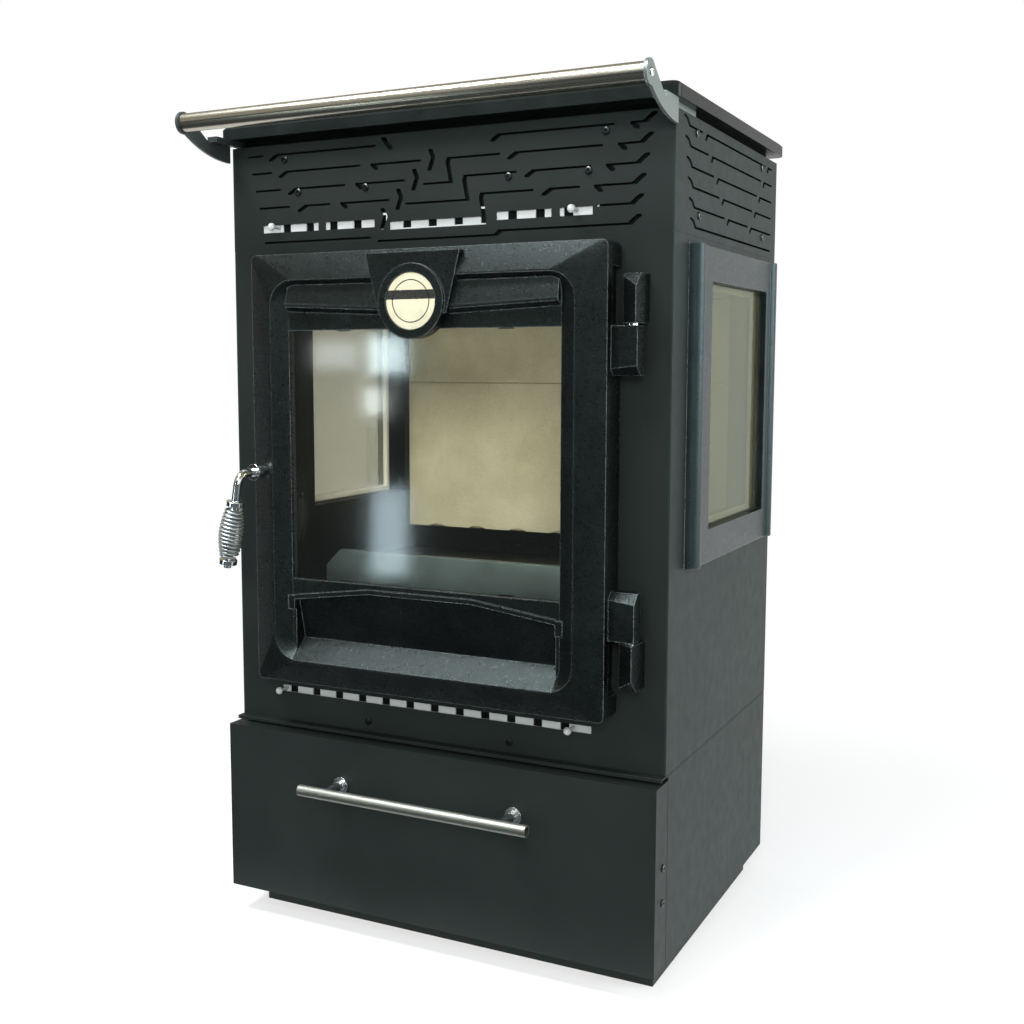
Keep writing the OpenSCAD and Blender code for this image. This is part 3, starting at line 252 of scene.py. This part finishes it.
def vermiculite():
    f = Finish("vermiculite_board", (0.52, 0.47, 0.33), 0.92, Specular_IOR_Level=LOW_GLOSS)
    cloud = f.noise(12, 4, 0.6)
    flecks = f.noise(420, 4, 0.75)
    blend = f.math("ADD", f.math("MULTIPLY", cloud, 0.55), f.math("MULTIPLY", flecks, 0.45))
    f.set("Base Color", f.ramp(blend, (0.3, (0.4, 0.355, 0.235)), (0.5, (0.52, 0.475, 0.33)),
                               (0.72, (0.65, 0.6, 0.45))))
    f.set("Normal", f.bump(flecks, 0.0006, 0.5))
    return f.mat


def rope():
    f = Finish("glass_rope", (0.05, 0.05, 0.05), 0.9)
    wave = f.add("ShaderNodeTexWave", {"Vector": f.place, "Scale": 160, "Distortion": 2},
                 wave_type="BANDS", bands_direction="DIAGONAL")
    braid = wave.outputs["Fac"]
    f.set("Base Color", f.ramp(braid, (0.2, (0.02, 0.02, 0.02)), (0.8, (0.09, 0.09, 0.085))))
    f.set("Normal", f.bump(braid, 0.0008, 0.8))
    return f.mat


def tape():
    f = Finish("sealing_tape", (0.75, 0.72, 0.62), 0.85, Specular_IOR_Level=LOW_GLOSS)
    weave = f.noise(700, 3, 0.7)
    f.set("Base Color", f.ramp(weave, (0.3, (0.68, 0.64, 0.53)), (0.7, (0.84, 0.81, 0.71))))
    f.set("Normal", f.bump(weave, 0.0004, 0.6))
    return f.mat


def enamel():
    f = Finish("cream_enamel", (0.3, 0.28, 0.2), 0.3, Coat_Weight=0.2, Coat_Roughness=0.1)
    f.set("Base Color", f.ramp(f.noise(50, 3), (0.3, (0.27, 0.25, 0.18)), (0.7, (0.33, 0.31, 0.22))))
    low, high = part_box("medallion_disc")
    middle = nodes["medallion_disc"].matrix_world.inverted() @ ((Vector(low) + Vector(high)) / 2)
    split = f.add("ShaderNodeSeparateXYZ", {"Vector": f.place})
    rise = f.math("ABSOLUTE", f.math("SUBTRACT", split.outputs["Z"], middle.z + BAND_RISE), 0)
    f.cover((0.012, 0.012, 0.01), f.math("LESS_THAN", rise, BAND_HALF))
    f.set("Roughness", f.ramp(f.noise(160, 2), (0.3, 0.18), (0.7, 0.3)))
    f.set("Normal", f.bump(f.noise(380, 2), 0.00005, 0.3))
    return f.mat


def pane(name, tint, haze, film_color, blur, gleam=(0.9, 0.95, 1)):
    """Clear ceramic glass: see-through with a Fresnel shine, and a faint film of ash."""
    mat, tree, plain = new_material(name)
    tree.nodes.remove(plain)
    clear = new_node(tree, "ShaderNodeBsdfTransparent", {"Color": (*tint, 1)})
    shine = new_node(tree, "ShaderNodeBsdfGlossy", {"Color": (*gleam, 1), "Roughness": blur})
    film = new_node(tree, "ShaderNodeBsdfDiffuse", {"Color": (*film_color, 1)})
    slant = new_node(tree, "ShaderNodeLayerWeight", {"Blend": 0.5})
    steep = new_node(tree, "ShaderNodeMath", {0: slant.outputs["Facing"], 1: 5}, operation="POWER")
    edge = new_node(tree, "ShaderNodeMath", {0: steep.outputs["Value"], 1: 0.96, 2: 0.04},
                    operation="MULTIPLY_ADD")
    place = new_node(tree, "ShaderNodeTexCoord").outputs["Object"]
    smoke = new_node(tree, "ShaderNodeTexNoise", {"Vector": place, "Scale": 7, "Detail": 4})
    amount = new_node(tree, "ShaderNodeMapRange", {
        "Value": smoke.outputs["Fac"], "From Min": 0.35, "From Max": 0.75,
        "To Min": haze * 0.85, "To Max": haze * 1.25})
    dusty = mix_shaders(tree, amount.outputs["Result"], clear.outputs["BSDF"], film.outputs["BSDF"])
    glass = mix_shaders(tree, edge.outputs["Value"], dusty, shine.outputs["BSDF"])
    tree.links.new(glass, tree.nodes["Material Output"].inputs["Surface"])
    return mat


# One sheet paint in two copies: darker and greyer on the front-facing sheets, as painted shade,
# and lighter and tealer on the other sheets, as painted light for the lit sides.
PAINT = sheet_paint("painted_sheet", 0.21, (0.0082, 0.014, 0.0127))
SHADED_FRONT_PAINT = sheet_paint("front_sheet_painted_shade", 0.27, (0.0064, 0.0083, 0.0075))
# The last colour lightens the door's edges: rubbed paint and painted highlights
CAST = cast_paint("cast_door_paint", 1.35, (0.24, 0.36), 0.38, 0.33, (0.11, 0.13, 0.13))
INNER = cast_paint("firebox_paint", 0.6, (0.42, 0.58), 0.14, 0.3)
# The log retainer's paint is far lighter than the firebox's: a painted sheen for the light its faces catch.
RETAINER = cast_paint("retainer_paint", 0.5, (0.3, 0.42), 0.9, 6.5)
# The colour after 1.0 lightens the frames' edges: rubbed paint and painted highlights
FRAME_PAINT = cast_paint("window_frame_paint", 1.1, (0.26, 0.38), 0.42, 1.0, (0.16, 0.2, 0.21),
                         (0.6, 0.92, 1, 1))
SMOOTH_CAST = cast_paint("top_plate_paint", 0.12, (0.27, 0.38), 0.15)
# The rail's warm tint on plain brushed steel is a painted reflection of a warm room.
RAIL = brushed("brushed_rail", (0.5, 0.47, 0.39), 0.26)
BRACKET = brushed("satin_bracket", (0.22, 0.26, 0.25), 0.36, (900, 900, 60), 0.8)
# The left bracket gets a darker copy of the right one's steel: painted shade on its inner side, which the
# light misses.
SHADED_BRACKET = brushed("painted_shade_bracket", (0.05, 0.06, 0.06), 0.42, (900, 900, 60), 0.6)
BAR = brushed("brushed_bar", (0.42, 0.42, 0.37), 0.48)
SPRING = brushed("spring_steel", (0.66, 0.71, 0.71), 0.34, (500, 500, 500))
POST = brushed("chrome_post", (0.85, 0.87, 0.87), 0.2, (300, 300, 300))
STRIP = brushed("bright_strip", (0.38, 0.4, 0.4), 0.45, (40, 400, 400), 0.3)
LOW_STRIP = brushed("grey_strip", (0.25, 0.275, 0.27), 0.45, (40, 400, 400), 0.3)
CHROME = chrome()
ZINC = zinc()
SCREW = black_screw()
BOARD = vermiculite()
ROPE = rope()
ENAMEL = enamel()
TAPE = tape()
DOOR_GLASS = pane("door_pane", (0.93, 0.94, 0.92), 0.003, (0.4, 0.4, 0.36), 0.085)
LEFT_GLASS = pane("left_pane", (0.74, 0.73, 0.66), 0.3, (0.52, 0.5, 0.41), 0.06)
RIGHT_GLASS = pane("right_pane", (0.68, 0.67, 0.56), 0.22, (0.15, 0.15, 0.105), 0.06, (0.62, 0.68, 0.6))

FINISHES = [
    (PAINT, "base_floor base_left_side base_right_side base_back left_panel right_panel left_grille "
            "right_grille back_panel body_floor"),
    (SHADED_FRONT_PAINT, "plinth base_top front_panel front_grille drawer_front"),
    (INNER, "top_frame firebox_left_wall firebox_right_wall firebox_back_wall firebox_floor firebox_roof "
            "firebox_front grate ash_pan grille_backplate inlet_plate flue_collar rear_air_rail"),
    (RETAINER, "log_retainer"),
    (SMOOTH_CAST, "top_plate"),
    (FRAME_PAINT, "left_window_frame right_window_frame"),
    (CAST, "door_frame medallion_boss hinge_brackets"),
    (ZINC, "drawer_tray drawer_runners latch_keeper"),
    (STRIP, "secondary_slider"),
    (LOW_STRIP, "primary_slider"),
    (RAIL, "rail_tube"),
    (BRACKET, "right_rail_bracket"),
    (SHADED_BRACKET, "left_rail_bracket"),
    (BAR, "drawer_bar"),
    (POST, "drawer_posts"),
    (CHROME, "hinge_pins handle_lever handle_coil latch_cam"),
    (SCREW, "body_screws drawer_screws glass_clips"),
    (BOARD, "baffle_plate back_brick_lower back_brick_upper"),
    (ROPE, "door_gasket"),
    (ENAMEL, "medallion_disc"),
    (DOOR_GLASS, "door_glass"),
    (LEFT_GLASS, "left_window_glass"),
    (RIGHT_GLASS, "right_window_glass"),
]
for finish, names in FINISHES:
    for name in names.split():
        data = nodes[name].data
        data.materials.clear()
        data.materials.append(finish)

# Points closer than this are one, faces flatter than this are joined, and sharper edges get a radius
WELD_GAP = 0.00002
FLAT_ANGLE = RAD(0.4)
SHARP_ANGLE = RAD(28)
# The radius for each piece that catches the light, in millimetres
EDGES = {
    "top_plate": 1.2, "left_window_frame": 1.2, "right_window_frame": 1.2, "door_frame": 1.0,
    "hinge_brackets": 1.2, "medallion_boss": 0.8, "left_panel": 0.5, "right_panel": 0.5,
    "drawer_front": 0.9, "base_left_side": 0.5, "base_right_side": 0.5, "base_top": 0.6,
    "front_panel": 0.3, "front_grille": 0.25, "left_grille": 0.25, "right_grille": 0.25,
    "log_retainer": 1.5, "left_rail_bracket": 0.4, "right_rail_bracket": 0.4, "back_brick_lower": 1.8,
    "back_brick_upper": 1.8, "baffle_plate": 1.0, "plinth": 0.8, "back_panel": 0.4, "flue_collar": 1.0,
    "rear_air_rail": 0.8, "drawer_bar": 0.6, "rail_tube": 0.5, "drawer_tray": 0.4, "firebox_front": 0.8,
    "grate": 0.8, "latch_cam": 0.4, "top_frame": 0.4, "handle_lever": 0.4, "drawer_posts": 0.3,
    "medallion_disc": 0.3,
}


def round_edges(node, radius):
    weld = node.modifiers.new("weld", "WELD")
    weld.merge_threshold = WELD_GAP
    flat = node.modifiers.new("flat", "DECIMATE")
    flat.decimate_type = "DISSOLVE"
    flat.angle_limit = FLAT_ANGLE
    bevel = node.modifiers.new("edge", "BEVEL")
    bevel.width = radius / 1000
    bevel.segments = 2
    bevel.limit_method = "ANGLE"
    bevel.angle_limit = SHARP_ANGLE
    bevel.face_strength_mode = "FSTR_ALL"
    node.data.shade_smooth()
    shading = node.modifiers.new("shading", "WEIGHTED_NORMAL")
    shading.mode = "FACE_AREA"
    shading.weight = 100
    shading.keep_sharp = False
    shading.use_face_influence = True


for name, radius in EDGES.items():
    round_edges(nodes[name], radius)


# Pieces
def new_object(name, mesh, finish):
    data = bpy.data.meshes.new(name)
    mesh.to_mesh(data)
    mesh.free()
    data.materials.append(finish)
    piece = bpy.data.objects.new(name, data)
    scene.collection.objects.link(piece)
    return piece


def finish_piece(name, mesh, finish, smooth_angle=180):
    """A smooth object from the mesh, whose edges over the angle in degrees stay sharp."""
    for edge in mesh.edges:
        edge.smooth = len(edge.link_faces) == 2 and edge.calc_face_angle() < RAD(smooth_angle)
    piece = new_object(name, mesh, finish)
    piece.data.shade_smooth()
    return piece


def tube(name, points, radius, sides, finish):
    """A smooth tube through the points, with closed ends."""
    mesh = bmesh.new()
    rings = []
    normal = None
    for i, p in enumerate(points):
        ahead = (points[min(i + 1, len(points) - 1)] - points[max(i - 1, 0)]).normalized()
        if normal is None:
            normal = ahead.orthogonal().normalized()
        normal = (normal - ahead * normal.dot(ahead)).normalized()
        side = ahead.cross(normal)
        turns = [2 * math.pi * k / sides for k in range(sides)]
        ring = [mesh.verts.new(p + radius * (math.cos(a) * normal + math.sin(a) * side)) for a in turns]
        if rings:
            for k in range(sides):
                n = (k + 1) % sides
                mesh.faces.new((rings[-1][k], rings[-1][n], ring[n], ring[k]))
        rings.append(ring)
    mesh.faces.new(list(reversed(rings[0])))
    mesh.faces.new(rings[-1])
    bmesh.ops.recalc_face_normals(mesh, faces=mesh.faces)
    return finish_piece(name, mesh, finish)


def handle_spring():
    """The wound grip of the door handle, in the place of its plainer solid."""
    steps = GRIP_TURNS * STEPS_PER_TURN
    run = GRIP_LENGTH - 4 * WIRE_R
    local = [Vector((COIL_END_R, 0, 0))]
    for i in range(steps + 1):
        t = i / steps
        a = 2 * math.pi * GRIP_TURNS * t
        r = COIL_END_R + (COIL_R - COIL_END_R) * math.sin(math.pi * t)
        local.append(Vector((r * math.cos(a), r * math.sin(a), -2 * WIRE_R - run * t)))
    local.append(Vector((COIL_END_R, 0, -GRIP_LENGTH)))
    tilt = Matrix.Rotation(GRIP_TILT, 4, "Y")
    points = [SPINDLE + tilt @ (Vector((0, LEVER_Y, GRIP_TOP)) + p) for p in local]
    piece = tube("grip_spring", points, WIRE_R, WIRE_SIDES, SPRING)
    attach(piece, "handle")
    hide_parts("handle_coil")


def loose_parts(node):
    """The lowest and highest corner of each loose part of a CAD node."""
    mesh = bmesh.new()
    mesh.from_mesh(nodes[node].data)
    bmesh.ops.remove_doubles(mesh, verts=mesh.verts, dist=0.00001)
    seen = set()
    parts = []
    for start in mesh.verts:
        if start in seen:
            continue
        seen.add(start)
        todo = [start]
        part = []
        while todo:
            vert = todo.pop()
            part.append(vert.co)
            for edge in vert.link_edges:
                other = edge.other_vert(vert)
                if other not in seen:
                    seen.add(other)
                    todo.append(other)
        parts.append([Vector([how(co[i] for co in part) for i in range(3)]) for how in (min, max)])
    mesh.free()
    return parts


def screw_spots(node):
    """Where each screw's head sits, and the way that it looks."""
    spots = []
    for low, high in loose_parts(node):
        place = (low + high) / 2
        if high.x > SIDE_SCREW_X:
            out = Vector((1, 0, 0))
            place.x = high.x - HEAD_H
        elif low.x < -SIDE_SCREW_X:
            out = Vector((-1, 0, 0))
            place.x = low.x + HEAD_H
        else:
            out = Vector((0, -1, 0))
            place.y = low.y + HEAD_H
        spots.append((place, out))
    return spots


def socket_screw(mesh, place, out, head_r):
    """A round-headed screw with a hexagonal socket, added to the mesh."""
    sides = 24
    socket = head_r * SOCKET
    turn = Vector((0, 0, 1)).rotation_difference(out)
    # Shares of the head's radius and height, from the shank's end up to the rim of the socket
    profile = [(0.55, -SHANK / HEAD_H), (0.55, 0), (1, 0), (1, 0.3), (0.92, 0.66), (0.74, 0.92), (0.55, 1)]
    rings = []
    for r, h in profile:
        rings.append([(r * head_r, h * HEAD_H)] * sides)
    for h in (0.98, 0.25):
        rings.append([(socket * math.cos(RAD(30)) / math.cos(2 * math.pi * k / sides % RAD(60) - RAD(30)),
                       h * HEAD_H) for k in range(sides)])
    made = []
    for ring in rings:
        points = []
        for k, (r, h) in enumerate(ring):
            a = 2 * math.pi * k / sides
            points.append(mesh.verts.new(place + turn @ Vector((r * math.cos(a), r * math.sin(a), h))))
        made.append(points)
    for low, high in zip(made, made[1:]):
        for k in range(sides):
            n = (k + 1) % sides
            mesh.faces.new((low[k], low[n], high[n], high[k]))
    mesh.faces.new(made[-1])
    mesh.faces.new(list(reversed(made[0])))


def screw_set(name, spots, finish, body, node, head_r=HEAD_R):
    """One piece for a family of screws."""
    mesh = bmesh.new()
    for place, out in spots:
        socket_screw(mesh, place, out, head_r)
    bmesh.ops.recalc_face_normals(mesh, faces=mesh.faces)
    piece = finish_piece(name, mesh, finish, 30)
    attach(piece, body)
    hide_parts(node)


def all_screws():
    body = screw_spots("body_screws")
    panel = [spot for spot in body if spot[0].y > RAIL_SCREW_Y]
    rail = [spot for spot in body if spot[0].y <= RAIL_SCREW_Y]
    screw_set("panel_screws", panel, SCREW, "stove", "body_screws")
    screw_set("rail_screws", rail, CHROME, "stove", "body_screws", RAIL_HEAD_R)
    side = screw_spots("drawer_screws")
    screw_set("drawer_side_screws", side, SCREW, "drawer", "drawer_screws")


def join_loops(mesh, loops):
    """Faces between each loop of points and the next one, and from the last to the first."""
    for a, b in zip(loops, loops[1:] + loops[:1]):
        for k in range(len(a)):
            n = (k + 1) % len(a)
            mesh.faces.new((a[k], a[n], b[n], b[k]))


def ring_strip(mesh, x0, x1, inner, outer):
    """A flat rectangular ring from x0 to x1; inner and outer are (y0, y1, z0, z1)."""
    def corners(box, x):
        y0, y1, z0, z1 = box
        return [mesh.verts.new((x, y, z)) for y, z in ((y0, z0), (y1, z0), (y1, z1), (y0, z1))]
    join_loops(mesh, [corners(inner, x0), corners(outer, x0), corners(outer, x1), corners(inner, x1)])


def inset(box, by):
    y0, y1, z0, z1 = box
    return y0 + by, y1 - by, z0 + by, z1 - by


def pane_tape(side, sign):
    """The pale sealing tape between a side pane and the tunnel that holds it."""
    low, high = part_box(side + "_window_glass")
    opening = inset((low[1], high[1], low[2], high[2]), PANE_LAP)
    mesh = bmesh.new()
    ring_strip(mesh, sign * (TUNNEL_FACE_X - TAPE_DEPTH), sign * TUNNEL_FACE_X, inset(opening, TAPE_WIDTH),
               opening)
    bmesh.ops.recalc_face_normals(mesh, faces=mesh.faces)
    bmesh.ops.bevel(mesh, geom=mesh.edges, offset=TAPE_EDGE, segments=2, affect="EDGES", profile=0.5)
    piece = finish_piece(side + "_pane_tape", mesh, TAPE, 50)
    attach(piece, "stove")


def medallion_inlay():
    """A dark ring that fills the groove of the medallion's disc."""
    low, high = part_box("medallion_disc")
    middle = Vector(((low[0] + high[0]) / 2, low[1], (low[2] + high[2]) / 2))
    turns = [2 * math.pi * k / RING_SIDES for k in range(RING_SIDES)]
    mesh = bmesh.new()
    loops = []
    for r, y in ((RING_INNER_R, RING_BACK), (RING_INNER_R, RING_FRONT), (RING_OUTER_R, RING_FRONT),
                 (RING_OUTER_R, RING_BACK)):
        circle = [Vector((r * math.cos(a), y, r * math.sin(a))) for a in turns]
        loops.append([mesh.verts.new(middle + point) for point in circle])
    join_loops(mesh, loops)
    bmesh.ops.recalc_face_normals(mesh, faces=mesh.faces)
    piece = finish_piece("medallion_inlay", mesh, SCREW, 40)
    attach(piece, "door")


handle_spring()
all_screws()
pane_tape("left", -1)
pane_tape("right", 1)
medallion_inlay()


# Studio
def aim(thing, place, target):
    thing.location = place
    thing.rotation_euler = (Vector(target) - Vector(place)).to_track_quat("-Z", "Y").to_euler()
    scene.collection.objects.link(thing)


def lamp(name, place, target, size, power, color, gloss=True):
    """An area light that the camera doesn't see; with gloss off, shiny surfaces don't mirror it either."""
    light = bpy.data.lights.new(name, "AREA")
    light.shape = "RECTANGLE"
    light.size, light.size_y = size
    light.energy = power
    light.color = color
    thing = bpy.data.objects.new(name, light)
    thing.visible_camera = False
    thing.visible_glossy = gloss
    aim(thing, place, target)


def seen_white(tree, lit, white):
    """The camera, gloss and glass see the white shader; everything else gets the lit one."""
    path = new_node(tree, "ShaderNodeLightPath")
    seen = path.outputs["Is Camera Ray"]
    for ray in ("Is Glossy Ray", "Is Transmission Ray"):
        either = new_node(tree, "ShaderNodeMath", {0: seen, 1: path.outputs[ray]}, operation="MAXIMUM")
        seen = either.outputs["Value"]
    return mix_shaders(tree, seen, lit, white)


def studio_world():
    """Soft light from all round. Gloss sees a dimmer ceiling, and the camera and glass see white."""
    world = bpy.data.worlds.new("studio")
    scene.world = world
    world.use_nodes = True
    tree = world.node_tree
    fill = tree.nodes["Background"]
    fill.inputs["Color"].default_value = (0.93, 0.97, 1, 1)
    fill.inputs["Strength"].default_value = 0.42
    sky = new_node(tree, "ShaderNodeTexCoord")
    height = new_node(tree, "ShaderNodeSeparateXYZ", {"Vector": sky.outputs["Generated"]})
    ceiling = new_node(tree, "ShaderNodeValToRGB", {"Fac": height.outputs["Z"]})
    low, high = ceiling.color_ramp.elements
    low.position = 0.14
    low.color = (1, 1, 1, 1)
    high.position = 0.34
    high.color = (0.27, 0.24, 0.17, 1)
    path = new_node(tree, "ShaderNodeLightPath")
    shown = mix_colors(tree, path.outputs["Is Glossy Ray"], (1, 1, 1, 1), ceiling.outputs["Color"])
    white = new_node(tree, "ShaderNodeBackground", {"Color": shown, "Strength": 1})
    surface = seen_white(tree, fill.outputs["Background"], white.outputs["Background"])
    tree.links.new(surface, tree.nodes["World Output"].inputs["Surface"])


def floor_paint():
    """A pale floor that takes the stove's shadow and fades to plain white away from it."""
    mat, tree, pale = new_material("floor")
    pale.inputs["Base Color"].default_value = (0.85, 0.85, 0.85, 1)
    pale.inputs["Roughness"].default_value = 0.9
    pale.inputs["Specular IOR Level"].default_value = 0
    glow = new_node(tree, "ShaderNodeEmission", {"Strength": 1})
    place = new_node(tree, "ShaderNodeTexCoord").outputs["Object"]
    away = new_node(tree, "ShaderNodeVectorMath", {0: place}, operation="LENGTH")
    fade = new_node(tree, "ShaderNodeMapRange", {
        "Value": away.outputs["Value"], "From Min": 0.35, "From Max": 1.1, "To Min": 0.45, "To Max": 1.0})
    faded = mix_shaders(tree, fade.outputs["Result"], pale.outputs["BSDF"], glow.outputs["Emission"])
    surface = seen_white(tree, pale.outputs["BSDF"], faded)
    tree.links.new(surface, tree.nodes["Material Output"].inputs["Surface"])
    return mat


def studio_floor():
    mesh = bmesh.new()
    bmesh.ops.create_grid(mesh, x_segments=8, y_segments=8, size=12)
    floor = new_object("floor", mesh, floor_paint())


CARD_LEFT, CARD_RIGHT = -3.2, 2.6
CARD_NEAR, CARD_FAR = -0.27, -3.1
CARD_FOOT, CARD_TOP = 0.004, 1.45


def dark_card():
    """Dark sheets in front of the stove, on the floor, up behind the camera and up on the left.

    Only gloss sees them, so that the stove's front doesn't mirror white.
    """
    near_left = (CARD_LEFT, CARD_NEAR, CARD_FOOT)
    near_right = (CARD_RIGHT, CARD_NEAR, CARD_FOOT)
    far_left = (CARD_LEFT, CARD_FAR, CARD_FOOT)
    far_right = (CARD_RIGHT, CARD_FAR, CARD_FOOT)
    top_near_left = (CARD_LEFT, CARD_NEAR, CARD_TOP)
    top_far_left = (CARD_LEFT, CARD_FAR, CARD_TOP)
    top_far_right = (CARD_RIGHT, CARD_FAR, CARD_TOP)
    mesh = bmesh.new()
    for corners in (
        (near_left, near_right, far_right, far_left),
        (far_left, far_right, top_far_right, top_far_left),
        (near_left, far_left, top_far_left, top_near_left),
    ):
        mesh.faces.new([mesh.verts.new(corner) for corner in corners])
    felt, _, cloth = new_material("dark_card")
    cloth.inputs["Base Color"].default_value = (0.03, 0.033, 0.035, 1)
    cloth.inputs["Specular IOR Level"].default_value = 0
    card = new_object("dark_card", mesh, felt)
    card.visible_camera = False
    card.visible_diffuse = False
    card.visible_transmission = False
    card.visible_volume_scatter = False
    card.visible_shadow = False


# The place and the lens of the photo's camera, found from the stove's edges in it
VIEW_FROM = Vector((0.6270, -1.3106, 0.6132))
AZIMUTH, LOOK_DOWN = RAD(27.05), RAD(6.13)
LENS_MM = 44.51
FILM_MM = 36
SHIFT_X, SHIFT_Y = 0.03065, -0.0094


def photo_camera():
    level = math.cos(LOOK_DOWN)
    gaze = Vector((-math.sin(AZIMUTH) * level, math.cos(AZIMUTH) * level, -math.sin(LOOK_DOWN)))
    data = bpy.data.cameras.new("camera")
    data.lens = LENS_MM
    data.sensor_width = FILM_MM
    data.shift_x = SHIFT_X
    data.shift_y = SHIFT_Y
    camera = bpy.data.objects.new("camera", data)
    aim(camera, VIEW_FROM, VIEW_FROM + gaze)
    scene.camera = camera


studio_world()
studio_floor()
dark_card()
# Small lamps that the door's pane mirrors, then the larger ones
lamp("doorway", (-0.654, -1.23, 0.29), (-0.3, -0.2, 0.43), (0.07, 0.17), 0.26, (0.8, 0.95, 1))
lamp("doorway_top", (-0.655, -1.23, 0.635), (-0.3, -0.2, 0.6), (0.07, 0.07), 0.22, (0.86, 1, 0.99))
lamp("doorway_left", (-0.776, -1.23, 0.636), (-0.3, -0.2, 0.6), (0.085, 0.05), 0.06, (0.95, 1, 1))
lamp("doorway_pane", (-0.685, -1.23, 0.545), (-0.3, -0.2, 0.55), (0.04, 0.05), 0.07, (0.95, 1, 0.93))
lamp("strip", (2.1, -2.4, 0.9), (0.26, -0.1, 0.5), (0.12, 1.7), 9, (0.82, 0.93, 1))
lamp("front_fill", (0.1, -2.6, 0.5), (0, 0.1, 0.5), (0.5, 0.5), 22, (1, 0.98, 0.94), False)
lamp("right_window", (3.0, 1.0, 1.4), (0, 0, 0.5), (1.4, 1.8), 70, (0.9, 0.98, 1))
lamp("overhead", (-0.5, -1.0, 2.4), (0, -0.1, 0.5), (1.2, 0.4), 75, (0.9, 0.96, 1))
lamp("front_high", (0.2, -2.3, 2.1), (0, -0.2, 0.66), (1.6, 0.4), 16, (0.78, 0.9, 1))
lamp("front_key", (1.1, -2.5, 1.3), (0, 0.1, 0.45), (0.7, 0.7), 90, (1, 0.98, 0.95), False)

photo_camera()
scene.view_settings.view_transform = "Standard"
